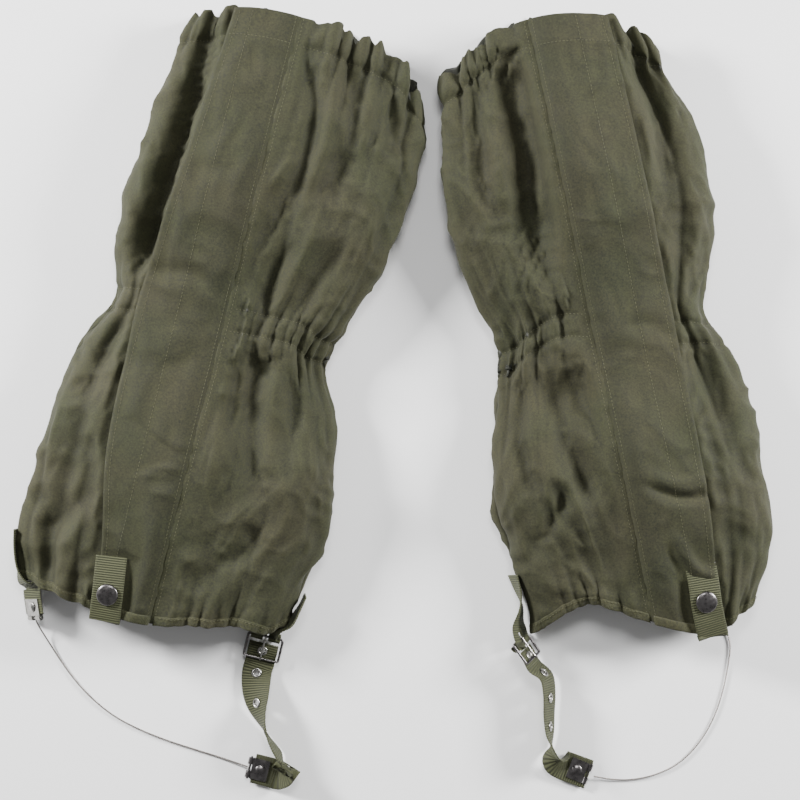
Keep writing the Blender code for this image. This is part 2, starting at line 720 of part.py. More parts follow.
def snap_tab(gaiter):
    """The ribbed tab, sewn to the flap at its top, with the press stud through it."""
    stations = tab_stations(gaiter)
    tab_pivot = ribbon_frame(stations, 0.0)[0]
    settle(gaiter, ribbon(gaiter.name + "_snap_tab", gaiter, stations, WEBBING_WIDTH), tab_pivot)
    centre, along, _, normal = ribbon_frame(stations, gaiter.snap_at)
    if normal.z < 0:
        normal = -normal
    over = centre + normal * (WEBBING / 2 + CLEARANCE)
    under = centre - normal * (WEBBING / 2 + CLEARANCE + SOCKET_HEIGHT)
    stud = under - normal * (CLEARANCE + STUD_BASE)
    dome = [(0.0, CAP_HEIGHT)]
    dome += [(CAP_RADIUS * math.sin(angle), CAP_HEIGHT * (0.25 + 0.75 * math.cos(angle)))
             for angle in steps(math.radians(20), math.radians(90), 5)]
    dome += [(CAP_RADIUS, 0.0), (0.0, 0.0)]
    cap = turned(gaiter.name + "_snap_cap", dome, local_frame(gaiter, over, along, normal), dark_metal(), 24)
    settle(gaiter, cap, tab_pivot)
    ring = [(SOCKET_BORE, SOCKET_HEIGHT), (SOCKET_RADIUS, SOCKET_HEIGHT), (SOCKET_RADIUS, 0.0),
            (SOCKET_BORE, 0.0)]
    matrix = local_frame(gaiter, under, along, normal)
    socket = turned(gaiter.name + "_snap_socket", ring, matrix, bright_metal(), closed=True)
    settle(gaiter, socket, tab_pivot)
    post = [(0.0, STUD_HEIGHT), (STUD_POST, STUD_HEIGHT), (STUD_POST, STUD_BASE), (STUD_RADIUS, STUD_BASE),
            (STUD_RADIUS, 0.0), (0.0, 0.0)]
    made = turned(gaiter.name + "_snap_stud", post, local_frame(gaiter, stud, along, normal), bright_metal())
    settle(gaiter, made, flap_axis(gaiter)[0])


# Foot loop

def swing_pivot(gaiter):
    return gaiter.swing_axis[1]


def hangers(gaiter):
    """The two strips of webbing sewn to the sides, which hold the foot loop."""
    name = gaiter.name + "_buckle_hanger"
    slot_from = len(gaiter.buckle_hanger)
    settle(gaiter, ribbon(name, gaiter, buckle_hanger_stations(gaiter), slot_from=slot_from))
    clamp_side = ribbon(gaiter.name + "_clamp_hanger", gaiter, clamp_hanger_stations(gaiter))
    settle(gaiter, clamp_side)
    return clamp_side


def buckle_frame_matrix(gaiter):
    """The buckle's own frame: X down the leg, Y across the strap, Z out of its face."""
    return local_frame(gaiter, gaiter.buckle_at, gaiter.buckle_along, gaiter.buckle_normal)


def buckle_bar(gaiter, end):
    """The frame at the middle of the buckle's upper (-1) or lower (1) bar."""
    offset = end * (BUCKLE_LENGTH / 2 - BUCKLE_WIRE) * MM
    return buckle_frame_matrix(gaiter) @ Matrix.Translation((offset, 0.0, 0.0))


def rounded_rectangle(length, width, corner, per_corner=4):
    """Points round a rectangle with round corners, in the XY plane, in metres."""
    points = []
    for quarter, (x, y) in enumerate(((1, 1), (-1, 1), (-1, -1), (1, -1))):
        centre = Vector((x * (length / 2 - corner), y * (width / 2 - corner), 0.0))
        for angle in steps(quarter * 90.0, quarter * 90.0 + 90.0, per_corner):
            turn = math.radians(angle)
            points.append((centre + Vector((math.cos(turn), math.sin(turn), 0.0)) * corner) * MM)
    return points


def buckle(gaiter):
    """The buckle's frame and the tongue that turns on its upper bar."""
    outline = rounded_rectangle(BUCKLE_LENGTH - 2 * BUCKLE_WIRE, BUCKLE_WIDTH - 2 * BUCKLE_WIRE, BUCKLE_CORNER)
    frame = wire(gaiter.name + "_buckle_frame", outline, BUCKLE_WIRE, dark_metal(), cyclic=True)
    frame = frozen(frame)
    frame.matrix_basis = buckle_frame_matrix(gaiter)
    settle(gaiter, frame, swing_pivot(gaiter))
    loop = BUCKLE_WIRE + CLEARANCE + TONGUE_WIRE
    points = []
    for angle in steps(-150.0, 90.0, 12):
        turn = math.radians(angle)
        points.append(Vector((-math.cos(turn) * loop, 0.0, math.sin(turn) * loop)) * MM)
    reach = BUCKLE_LENGTH - 2 * BUCKLE_WIRE
    for share in steps(0.12, 1.1, 6):
        points.append(Vector((reach * share, 0.0, loop)) * MM)
    tongue = frozen(wire(gaiter.name + "_buckle_tongue", points, TONGUE_WIRE, bright_metal()))
    tongue.matrix_basis = buckle_bar(gaiter, -1)
    settle(gaiter, tongue)


def clamp_outline():
    """Side view of a strap end: a sheet folded round the end of the webbing."""
    half = CLAMP_SLOT / 2
    outer = half + CLAMP_SHEET
    length = CLAMP_LENGTH
    return ((-length, outer), (CLAMP_SHEET, outer), (CLAMP_SHEET, -outer), (-length, -outer),
            (-length, -half), (0.0, -half), (0.0, half), (-length, half))


def clamp_body(gaiter, name, matrix):
    """A stamped strap end with two rolled knuckles for its pin."""
    curve = bpy.data.curves.new(name, "CURVE")
    curve.dimensions = "2D"
    curve.fill_mode = "BOTH"
    curve.extrude = CLAMP_WIDTH / 2 * MM
    line = curve.splines.new("POLY")
    outline = clamp_outline()
    line.points.add(len(outline) - 1)
    for point, (x, z) in zip(line.points, outline):
        point.co = (x * MM, z * MM, 0.0, 1.0)
    line.use_cyclic_u = True
    stand_up = Matrix.Rotation(math.radians(90.0), 4, "X")
    made = frozen(link(name, curve, bright_metal()))
    made.data.transform(stand_up)
    made.matrix_basis = matrix
    for side in (-1, 1):
        offset = Matrix.Translation(Vector((knuckle_reach(), side * knuckle_offset(), 0.0)) * MM)
        tube = cylinder(f"{name}_knuckle_{side}", KNUCKLE_RADIUS, KNUCKLE_LENGTH, matrix @ offset @ stand_up)
        tube.parent = bpy.data.objects[gaiter.name + "_frame"]
        boolean(made, tube, "UNION")
    bore_at = matrix @ Matrix.Translation((knuckle_reach() * MM, 0.0, 0.0)) @ stand_up
    bore = cylinder(name + "_bore", KNUCKLE_BORE, CLAMP_WIDTH * 2, bore_at)
    rivet_at = matrix @ Matrix.Translation((-CLAMP_LENGTH / 2 * MM, 0.0, 0.0))
    hole = cylinder(name + "_rivet_hole", RIVET_HOLE, 30.0, rivet_at)
    for cut in (bore, hole):
        cut.parent = bpy.data.objects[gaiter.name + "_frame"]
        boolean(made, cut, "DIFFERENCE")
    return made, hole


def knuckle_reach():
    """Distance of the pin's axis beyond the end of the webbing."""
    return CLAMP_SHEET + KNUCKLE_RADIUS - 0.5


def knuckle_offset():
    """Distance of each knuckle's middle from the middle of the strap."""
    return CLAMP_WIDTH / 2 - KNUCKLE_LENGTH / 2 - KNUCKLE_INSET


def strap_end(gaiter, prefix, stations, strip, moves_with):
    """A clamp on the end of a strip of webbing, with its rivet and hinge pin."""
    centre, along, _, normal = ribbon_frame(stations, len(stations) - 1.0)
    if normal.z < 0:
        normal = -normal
    origin = centre + along * CLEARANCE
    matrix = local_frame(gaiter, origin, along, normal)
    body, hole = clamp_body(gaiter, f"{gaiter.name}_{prefix}_clamp", matrix)
    settle(gaiter, body, moves_with)
    change = strip.modifiers.new("rivet_hole", "BOOLEAN")
    change.operation = "DIFFERENCE"
    change.object = hole
    top = CLAMP_SLOT / 2 + CLAMP_SHEET + CLEARANCE
    foot = -top
    profile = [(0.0, top + 1.4), (RIVET_HEAD * 0.7, top + 1.1), (RIVET_HEAD, top + 0.4), (RIVET_HEAD, top),
               (RIVET_SHANK, top), (RIVET_SHANK, foot), (RIVET_HEAD * 0.8, foot),
               (RIVET_HEAD * 0.8, foot - 0.5), (0.0, foot - 0.5)]
    rivet_at = matrix @ Matrix.Translation((-CLAMP_LENGTH / 2 * MM, 0.0, 0.0))
    rivet = turned(f"{gaiter.name}_{prefix}_clamp_rivet", profile, rivet_at, bright_metal(), 12)
    settle(gaiter, rivet, moves_with)
    pin_at = matrix @ Matrix.Translation((knuckle_reach() * MM, 0.0, 0.0))
    pin_at = pin_at @ Matrix.Rotation(math.radians(90.0), 4, "X")
    pin = cylinder(f"{gaiter.name}_{prefix}_clamp_pin", PIN_RADIUS, PIN_LENGTH, pin_at, bright_metal(), 12)
    settle(gaiter, pin, moves_with)


def eyelet_strap(gaiter):
    """The instep strap, its holes and their eyelets."""
    stations = strap_stations(gaiter)
    strap = ribbon(gaiter.name + "_eyelet_strap", gaiter, stations)
    ring = [(EYELET_BORE, EYELET_HEIGHT / 2), (EYELET_OUTER, EYELET_HEIGHT / 2),
            (EYELET_OUTER, -EYELET_HEIGHT / 2), (EYELET_BORE, -EYELET_HEIGHT / 2)]
    for number, at in enumerate(gaiter.eyelets_at, start=1):
        centre, along, _, normal = ribbon_frame(stations, at)
        matrix = local_frame(gaiter, centre, along, normal)
        hole = cylinder(f"{gaiter.name}_strap_hole_{number}", EYELET_HOLE, 8.0, matrix, sides=12)
        hole.parent = bpy.data.objects[gaiter.name + "_frame"]
        boolean(strap, hole, "DIFFERENCE")
        eyelet = turned(f"{gaiter.name}_eyelet_{number}", ring, matrix, bright_metal(), 12, closed=True)
        settle(gaiter, eyelet, swing_pivot(gaiter))
    settle(gaiter, strap, swing_pivot(gaiter))
    return strap


def cable(gaiter):
    """The steel wire cable under the boot."""
    route = gaiter.cable
    points = [along_points(route, at) for at in steps(0.0, len(route) - 1.0, CABLE_POINTS)]
    places = [to_local(gaiter, point) for point in points]
    made = wire(gaiter.name + "_cable", places, CABLE_RADIUS, material("steel_cable", STEEL, 0.35, 1.0))
    settle(gaiter, made)


def build(gaiter):
    """One gaiter, on an empty that holds its place and tilt."""
    frame = bpy.data.objects.new(gaiter.name + "_frame", None)
    bpy.data.collections["gaiters"].objects.link(frame)
    frame.location = (gaiter.place[0] * MM, gaiter.place[1] * MM, 0.0)
    frame.rotation_euler = (0.0, 0.0, math.radians(gaiter.tilt))
    for panel in (back_panel, front_panel, outer_panel):
        settle(gaiter, panel(gaiter))
    flap(gaiter)
    elastics(gaiter)
    snap_tab(gaiter)
    clamp_hanger = hangers(gaiter)
    buckle(gaiter)
    strap = eyelet_strap(gaiter)
    strap_end(gaiter, "strap", strap_stations(gaiter), strap, swing_pivot(gaiter))
    strap_end(gaiter, "hanger", clamp_hanger_stations(gaiter), clamp_hanger, swing_pivot(gaiter))
    cable(gaiter)


def main():
    for old in list(bpy.data.objects):
        bpy.data.objects.remove(old)
    for name in ("gaiters", "cutters"):
        bpy.context.scene.collection.children.link(bpy.data.collections.new(name))
    for gaiter in (LEFT, RIGHT):
        build(gaiter)


main()
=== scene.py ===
"""Looks for the pair of olive knee gaiters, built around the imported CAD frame.

Each gaiter is laid out in its own frame, in millimetres: s runs across the leg (positive towards the
buckle side), y up the leg from the hem, z above the floor. That frame comes from its flap hinge.
"""

import json
import math
from dataclasses import dataclass

import bmesh
import bpy
import numpy as np
from mathutils import Matrix, Vector

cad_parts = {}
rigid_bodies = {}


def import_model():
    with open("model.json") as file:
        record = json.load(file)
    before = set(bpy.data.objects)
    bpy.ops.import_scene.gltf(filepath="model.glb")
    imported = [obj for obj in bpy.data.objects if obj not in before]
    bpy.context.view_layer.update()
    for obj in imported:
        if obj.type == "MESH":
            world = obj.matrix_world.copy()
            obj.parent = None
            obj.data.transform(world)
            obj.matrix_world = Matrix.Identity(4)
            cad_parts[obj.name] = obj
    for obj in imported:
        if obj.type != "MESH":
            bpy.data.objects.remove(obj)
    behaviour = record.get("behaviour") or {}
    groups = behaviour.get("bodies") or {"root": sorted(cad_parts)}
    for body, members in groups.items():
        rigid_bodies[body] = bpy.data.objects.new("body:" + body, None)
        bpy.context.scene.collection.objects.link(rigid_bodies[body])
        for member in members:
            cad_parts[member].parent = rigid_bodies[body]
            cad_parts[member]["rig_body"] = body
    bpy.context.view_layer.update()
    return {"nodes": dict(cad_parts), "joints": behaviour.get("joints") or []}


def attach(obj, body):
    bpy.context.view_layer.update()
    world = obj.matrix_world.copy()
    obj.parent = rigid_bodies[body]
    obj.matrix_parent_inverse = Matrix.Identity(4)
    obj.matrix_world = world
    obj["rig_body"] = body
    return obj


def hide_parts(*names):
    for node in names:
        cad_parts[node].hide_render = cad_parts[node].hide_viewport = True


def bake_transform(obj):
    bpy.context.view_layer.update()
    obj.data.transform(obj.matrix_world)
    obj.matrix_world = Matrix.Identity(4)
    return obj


MM = 0.001

# The leg tube, as the CAD has it
SIDE_HEIGHT = 0.36
DOME_POWER = 2.3
CORNER_REACH = 34.0
BACK_HEM_RISE = 22.0
DEPTH = ((0.0, 36.0), (0.25, 52.0), (0.49, 42.0), (0.74, 56.0), (1.0, 42.0))
LEG = 480.0

# The cloth grid, and the knots of its noise
FRONT_COLUMNS = 44
OUTER_COLUMNS = 36
BACK_COLUMNS = 44
ROWS = 121
FINER = 2
KNOTS = 64
FABRIC = 0.9
FLAP_CLOTH = 1.3

# Heights put into the cloth: its crumples, its rise at the flap's seam, the flap over the tube
CRUMPLE = 4.6
SEAM_RISE = 4.2
FLAP_LIFT = 4.7
UNDER_TAB = 4.9

# Cloth simulation, run at a larger scale than life. HELD_LOOSELY all but pins the cloth: at 0.6 no point
# moves by more than 0.015 mm, so the folds that show are the ones put in before it.
SIM_SCALE = 10.0
SIM_FRAMES = 24
HELD_LOOSELY = 0.6
ON_FLOOR = 2.0

# Sewing, and what is cut out of the webbing
CASING = 22.0
CHANNEL = 18.0
BINDING_WIDTH = 8.0
WEBBING_WIDTH = 25.0
STRAP_WIDTH = 24.0
WEBBING = 1.4
RIB_PITCH = 1.9
STITCH_PITCH = 3.0
STITCH_LENGTH = 2.1
STITCH_RADIUS = 0.27
EYELET_HOLE = 2.8
EYELET_REACH = 6.0
BUCKLE_SLOT = (16.0, 4.4, 13.0)

# Buckle, strap ends and cable, as the CAD has them
BUCKLE_LENGTH = 20.6
BUCKLE_WIRE = 1.1
BAR = BUCKLE_LENGTH / 2 - BUCKLE_WIRE
CLAMP_LENGTH = 13.0
CABLE_RADIUS = 0.6

# Camera: a long lens straight above the pair
CAMERA_LENS = 135.0
SENSOR = 36.0
VIEW_WIDTH = 0.640
VIEW_LEVEL = 0.018
VIEW_CENTRE = (0.0052, 0.0014)


@dataclass
class Gaiter:
    """How one gaiter lies. Outlines are (y, s) or (across, y) knots of smooth curves, in millimetres."""
    name: str
    hand: int
    seed: int
    outer_edge: tuple
    inner_edge: tuple
    hem_line: tuple
    rim_line: tuple
    flap_edge: tuple
    seam_hem: float
    seam_rim: float
    waist: float
    folds: tuple
    flap_folds: tuple
    tab: tuple
    buckle_hanger: tuple
    clamp_hanger: tuple
    clamp_hanger_end: tuple
    strap: tuple
    strap_end: tuple
    eyelets_at: tuple
    buckle_at: tuple
    buckle_along: tuple
    buckle_normal: tuple
    cable: tuple


LEFT = Gaiter(
    name="left",
    hand=1,
    seed=7,
    outer_edge=((-6, -112), (20, -124), (45, -130), (110, -130), (155, -127), (200, -122), (238, -104),
                (262, -108), (305, -110), (350, -109), (400, -105), (440, -99), (476, -93)),
    inner_edge=((0, 90), (20, 94), (50, 102), (105, 108), (155, 101), (200, 85), (233, 70), (262, 82),
                (305, 96), (350, 104), (395, 105), (430, 101), (460, 93)),
    hem_line=((-1, 7), (-0.4, -3), (0, -4), (0.4, 5), (0.75, 11.5), (0.88, 10), (1, 22)),
    rim_line=((-1, 470), (-0.6, 487), (0, 491), (0.5, 485), (0.8, 476), (1, 453)),
    flap_edge=((0, -58), (47, -60), (122, -74), (245, -77), (300, -74), (370, -68), (490, -60)),
    seam_hem=-10.0,
    seam_rim=-10.0,
    waist=240.0,
    folds=(
        # valley or ridge: points (s, y), height in mm (negative for a valley), half width in mm
        (((22, 228), (30, 190), (44, 140), (56, 96)), -14.0, 15.0),
        (((52, 222), (62, 180), (70, 130)), -7.0, 10.0),
        (((6, 222), (10, 190), (16, 150)), -7.0, 8.0),
        (((36, 222), (44, 160), (60, 110)), 6.0, 10.0),
        (((60, 90), (40, 60), (20, 20)), -6.0, 14.0),
        (((0, 470), (22, 420), (18, 360), (2, 290)), -8.0, 9.0),
        (((40, 470), (52, 400), (40, 330)), -7.0, 12.0),
        (((26, 470), (34, 400), (24, 320)), 5.0, 10.0),
        (((75, 460), (84, 420), (94, 400)), -8.0, 8.0),
        (((18, 250), (20, 290), (34, 320)), -5.0, 8.0),
        (((44, 250), (50, 290), (66, 330)), -5.0, 9.0),
        (((-88, 262), (-85, 320), (-80, 390), (-71, 480)), -21.0, 9.5),
        (((-88, 228), (-98, 190), (-108, 150)), -8.0, 9.0),
        (((-112, 60), (-104, 30), (-100, 0)), -8.0, 9.0),
        (((-128, 80), (-100, 60), (-84, 90)), -6.0, 10.0),
        (((-96, 130), (-84, 100), (-80, 60)), -5.0, 10.0),
    ),
    flap_folds=(
        (((-75, 262), (-42, 268), (-12, 252)), -2.2, 8.0),
        (((-70, 205), (-42, 214), (-22, 232)), 2.0, 11.0),
        (((-62, 345), (-40, 352), (-16, 372)), -1.8, 10.0),
        (((-66, 150), (-40, 132), (-20, 128)), -1.8, 10.0),
        (((-24, 14), (-20, 52), (-30, 96)), 2.2, 7.0),
        (((-58, 430), (-40, 418), (-14, 430)), 1.6, 10.0),
    ),
    tab=((-51, 41, 0.0), (-49, 26, 2.6), (-47, 11, 4.2), (-46, 1, 3.6), (-45, -9, 1.0)),
    buckle_hanger=((104.5, 46, 14.5, (0.1, 0.0, 1.0)), (101.5, 32, 14.0, (0.15, 0.0, 1.0)),
                   (96.5, 21, 13.0, (0.4, 0.0, 0.92)), (83.0, 13.5, 10.6, (1.0, 0.0, 0.1))),
    clamp_hanger=((-132.5, 42, 14.5, (-0.1, 0.0, 1.0)), (-130.0, 27, 14.2, (0.0, 0.0, 1.0)),
                  (-125.0, 12, 13.8, (0.1, 0.0, 1.0)), (-118.5, 1.5, 12.8, (0.4, 0.1, 0.9))),
    clamp_hanger_end=((-102.5, -21.5, 10.6), (0.38, -0.925, -0.04), (0.6, 0.25, 0.76)),
    strap=((81.5, -26, 4.2, (1.0, 0.0, 0.12)), (85.5, -42, 8.0, (0.86, 0.0, 0.5)),
           (93.0, -58, 12.0, (0.45, 0.0, 0.89)), (103.0, -72, 13.2, (0.0, 0.0, 1.0)),
           (115.0, -84, 13.0, (-0.3, 0.1, 0.94)), (123.0, -93.5, 11.4, (-0.2, 0.8, 0.55))),
    strap_end=((97.0, -100.0, 3.1), (-1.0, 0.0, 0.0), (0.0, 1.0, 0.0)),
    eyelets_at=(1.0, 3.9, 5.35, 6.75),
    buckle_at=(81.5, -3.4, 6.6),
    buckle_along=(0.0, -1.0, 0.0),
    buckle_normal=(0.0, 0.0, 1.0),
    cable=((-100.9, -25.7, 10.3), (-97.5, -30.5, 7.6), (-92.0, -36.5, 4.0), (-84.0, -44.5, 1.6),
           (-73.5, -54.5, 0.9), (-59.0, -66.5, 0.9), (-42.0, -77.5, 0.9), (-22.0, -86.5, 0.9),
           (0.0, -92.0, 0.9), (24.0, -95.3, 0.9), (48.0, -97.0, 0.9), (68.0, -98.2, 1.2),
           (82.0, -99.2, 2.2), (92.6, -100.0, 3.1)),
)

RIGHT = Gaiter(
    name="right",
    hand=-1,
    seed=23,
    outer_edge=((-10, -86), (20, -103), (48, -113), (90, -117), (140, -113), (200, -102), (230, -90),
                (255, -98), (320, -113), (380, -106), (415, -94), (459, -81)),
    inner_edge=((0, 87), (30, 91), (60, 96), (98, 103), (140, 97), (200, 80), (230, 70), (262, 83),
                (315, 94), (395, 90), (445, 83), (470, 80)),
    hem_line=((-1, -6), (-0.7, -20), (-0.5, -22), (-0.15, -11), (0.2, 5), (0.45, 16), (0.75, 10), (1, 0)),
    rim_line=((-1, 441), (-0.68, 468), (-0.3, 478), (0.13, 480), (0.4, 476), (0.7, 464), (1, 446)),
    flap_edge=((-20, -59), (98, -63), (163, -62), (252, -60), (357, -57), (477, -51)),
    seam_hem=-6.0,
    seam_rim=10.0,
    waist=223.0,
    folds=(
        (((40, 205), (38, 160), (30, 120), (22, 90)), -13.0, 14.0),
        (((62, 205), (74, 150), (70, 100)), -7.0, 9.0),
        (((84, 60), (56, 90), (44, 120)), -7.0, 9.0),
        (((20, 205), (18, 170), (8, 120)), -7.0, 9.0),
        (((60, 450), (66, 390), (70, 330)), -9.0, 10.0),
        (((34, 462), (32, 400), (33, 330), (38, 262)), -22.0, 21.0),
        (((48, 450), (48, 380), (54, 300)), 6.0, 9.0),
        (((-70, 440), (-80, 380), (-74, 300)), -10.0, 10.0),
        (((-84, 205), (-88, 160), (-92, 110)), -7.0, 10.0),
        (((-72, 205), (-72, 150), (-78, 80)), -6.0, 10.0),
    ),
    flap_folds=(
        (((-66, 106), (-40, 101), (-12, 110)), -3.2, 4.5),
        (((-66, 116), (-40, 112), (-16, 120)), 2.0, 6.0),
        (((-60, 40), (-44, 48), (-30, 76)), 2.6, 5.5),
        (((-34, 6), (-34, 34), (-26, 66)), -3.0, 5.0),
        (((-62, 225), (-40, 236), (-16, 230)), -2.0, 9.0),
        (((-58, 330), (-36, 318), (-10, 326)), 1.8, 11.0),
        (((-56, 420), (-30, 410), (0, 420)), -1.6, 10.0),
    ),
    tab=((-50, 29, 0.0), (-50, 15, 2.6), (-49.5, 2, 4.2), (-50.0, -12, 3.6), (-51.0, -25, 1.0)),
    buckle_hanger=((96.5, 47, 14.5, (-0.3, 0.0, 0.95)), (94.5, 32, 14.0, (-0.15, 0.0, 1.0)),
                   (94.5, 20, 13.5, (0.15, -0.05, 1.0)), (98.5, 7, 13.6, (0.43, -0.22, 0.87))),
    clamp_hanger=((-63.0, 44, 5.6, (0.98, 0.0, -0.2)), (-64.0, 28, 5.8, (0.98, 0.0, -0.2)),
                  (-65.0, 13, 6.2, (0.98, 0.05, -0.15))),
    clamp_hanger_end=((-64.0, -16.0, 3.3), (0.12, -0.98, -0.14), (0.99, 0.12, 0.0)),
    strap=((84.0, -38, 12.8, (0.46, -0.06, 0.88)), (84.0, -52, 12.8, (0.44, 0.0, 0.9)),
           (87.0, -68, 12.8, (0.4, 0.0, 0.92)), (89.0, -84, 13.0, (0.28, 0.0, 0.96)),
           (89.0, -98, 12.8, (-0.15, 0.0, 0.99)), (87.5, -106.5, 8.6, (-0.5, 0.6, 0.6))),
    strap_end=((63.5, -122.4, 3.1), (-0.86, -0.5, 0.0), (-0.5, 0.86, 0.0)),
    eyelets_at=(1.0, 3.7, 5.2, 6.6),
    buckle_at=(95.6, -16.2, 13.6),
    buckle_along=(-0.465, -0.885, 0.0),
    buckle_normal=(-0.77, 0.40, 0.49),
    cable=((-63.7, -20.6, 2.7), (-65.0, -25.5, 1.8), (-66.3, -32.0, 1.0), (-66.3, -41.0, 0.9),
           (-62.5, -54.0, 0.9), (-56.0, -71.0, 0.9), (-47.0, -89.0, 0.9), (-36.0, -104.5, 0.9),
           (-22.0, -118.0, 0.9), (-6.0, -127.5, 0.9), (12.0, -132.0, 0.9), (30.0, -132.5, 0.9),
           (46.0, -129.5, 1.5), (59.8, -124.5, 3.1)),
)


# Curves

def smooth(knots, x):
    """Values at x of a cubic curve through (x, value) knots, straight beyond its ends."""
    places, values = np.array(knots, float).T
    x = np.asarray(x, float)
    slopes = np.diff(values) / np.diff(places)
    tangents = np.concatenate(([slopes[0]], (slopes[1:] + slopes[:-1]) / 2, [slopes[-1]]))
    index = np.clip(np.searchsorted(places, x, side="right") - 1, 0, len(slopes) - 1)
    width = np.diff(places)[index]
    t = np.clip((x - places[index]) / width, 0.0, 1.0)
    rise = np.diff(values)[index]
    start, end = tangents[index] * width, tangents[index + 1] * width
    inside = values[index] + start * t + (3 * rise - 2 * start - end) * t ** 2
    inside = inside + (start + end - 2 * rise) * t ** 3
    before = np.minimum(x - places[0], 0.0) * tangents[0]
    after = np.maximum(x - places[-1], 0.0) * tangents[-1]
    return inside + before + after


def along_points(points, at):
    """The points at station numbers `at`, on a smooth curve through the given ones."""
    columns = np.array(points, float).T
    return np.stack([smooth(list(enumerate(column)), at) for column in columns], axis=-1)


def ease(x):
    """A smooth step from 0 to 1."""
    x = np.clip(x, 0.0, 1.0)
    return x * x * (3 - 2 * x)


def waver(x, seed):
    """Smooth noise along a line, from -1 to 1, with one knot to each whole number."""
    x = np.asarray(x, float)
    knots = np.random.default_rng(seed).uniform(-1.0, 1.0, 512)
    index = np.floor(x).astype(int)
    share = ease(x - index)
    return knots[index % 512] * (1 - share) + knots[(index + 1) % 512] * share


def ripple(x, y, seed):
    """Smooth noise over a surface, from -1 to 1."""
    knots = np.random.default_rng(seed).uniform(-1.0, 1.0, (KNOTS, KNOTS))
    column, row = np.floor(x).astype(int), np.floor(y).astype(int)
    across, up = ease(x - column), ease(y - row)
    left, right = column % KNOTS, (column + 1) % KNOTS
    below, above = row % KNOTS, (row + 1) % KNOTS
    low = knots[below, left] * (1 - across) + knots[below, right] * across
    high = knots[above, left] * (1 - across) + knots[above, right] * across
    return low * (1 - up) + high * up


# The skin of a leg tube, in the gaiter's own frame. Every argument may be an array.

def height_on_leg(gaiter, v, across):
    """The y of the skin a fraction v from hem to rim, at `across` from -1 (outer side) to 1 (inner)."""
    hem = smooth(gaiter.hem_line, across)
    return hem + v * (smooth(gaiter.rim_line, across) - hem)


def half_width(gaiter, v):
    """Middle and half-width of the leg tube at v."""
    outer = smooth(gaiter.outer_edge, height_on_leg(gaiter, v, -1.0))
    inner = smooth(gaiter.inner_edge, height_on_leg(gaiter, v, 1.0))
    return (inner + outer) / 2, (inner - outer) / 2


def section(v, turn, middle, reach):
    """(s, z) on the cross-section: turn is 0 at the inner side, 90 on top, 180 at the outer side, and
    225 to 315 along the flat underside."""
    depth = smooth(DEPTH, v)
    side = SIDE_HEIGHT * depth
    turn = turn % 360.0
    angle = np.radians(turn)
    dome_s = np.sign(np.cos(angle)) * np.abs(np.cos(angle)) ** (2 / DOME_POWER)
    dome_z = side + (depth - side) * np.abs(np.sin(angle)) ** (2 / DOME_POWER)
    corner = np.radians(90.0 * np.minimum(45.0, np.minimum(turn - 180.0, 360.0 - turn)) / 45.0)
    outward = np.where(turn < 270.0, -1.0, 1.0)
    corner_s = outward * (reach - CORNER_REACH + CORNER_REACH * np.cos(corner))
    flat_s = (turn - 270.0) / 45.0 * (reach - CORNER_REACH)
    low_s = np.where((turn > 225.0) & (turn < 315.0), flat_s, corner_s)
    s = middle + np.where(turn <= 180.0, reach * dome_s, low_s)
    return s, np.where(turn <= 180.0, dome_z, side * (1 - np.sin(corner)))


def skin(gaiter, v, turn, lift=0.0):
    """Points of the leg tube's outer surface and their outward normals, moved out by lift."""
    middle, reach = half_width(gaiter, v)
    s, z = section(v, turn, middle, reach)
    s_next, z_next = section(v, turn + 0.2, middle, reach)
    s_last, z_last = section(v, turn - 0.2, middle, reach)
    along, up = s_next - s_last, z_next - z_last
    size = np.hypot(along, up)
    normal = np.stack([up / size, np.zeros_like(up), -along / size], axis=-1)
    across = np.clip((s - middle) / reach, -1.0, 1.0)
    behind = ease(np.minimum(turn % 360.0 - 180.0, 360.0 - turn % 360.0) / 20.0)
    y = height_on_leg(gaiter, v, across) + (1 - v) * BACK_HEM_RISE * behind
    return np.stack([s, y, z], axis=-1) + normal * np.asarray(lift)[..., None], normal


def turn_at(gaiter, v, s):
    """The turn at which the top surface has this s."""
    middle, reach = half_width(gaiter, v)
    across = np.clip((s - middle) / reach, -1.0, 1.0)
    return np.degrees(np.arccos(np.sign(across) * np.abs(across) ** (DOME_POWER / 2)))


def seam(gaiter, v):
    """The s of the closure seam at v."""
    return gaiter.seam_hem + v * (gaiter.seam_rim - gaiter.seam_hem)


def flap_edge(gaiter, v):
    """The s of the flap's free edge at v."""
    return smooth(gaiter.flap_edge, height_on_leg(gaiter, v, -0.6))


def v_at(gaiter, s, y):
    """The fraction from hem to rim of the point (s, y) on the top surface."""
    v = y / LEG
    for _ in range(4):
        middle, reach = half_width(gaiter, v)
        across = (s - middle) / reach
        hem = smooth(gaiter.hem_line, across)
        v = (y - hem) / (smooth(gaiter.rim_line, across) - hem)
    return v


# Placing a gaiter in the frame

def leg_frame(gaiter):
    """The matrix from a gaiter's layout, in metres, to the row frame, found from its flap hinge."""
    hinge = next(joint for joint in frame["joints"] if joint["name"] == gaiter.name + "_flap_hinge")
    up_leg = Vector(hinge["axis"]) * gaiter.hand
    across = Vector((up_leg.y, -up_leg.x, 0.0))
    middle, reach = half_width(gaiter, 0.0)
    low = height_on_leg(gaiter, 0.0, (gaiter.seam_hem - middle) / reach)
    place = Vector(hinge["pos_m"]) - across * gaiter.hand * gaiter.seam_hem * MM - up_leg * low * MM
    turned = Matrix((across, up_leg, Vector((0.0, 0.0, 1.0)))).transposed().to_4x4()
    return Matrix.Translation((place.x, place.y, 0.0)) @ turned


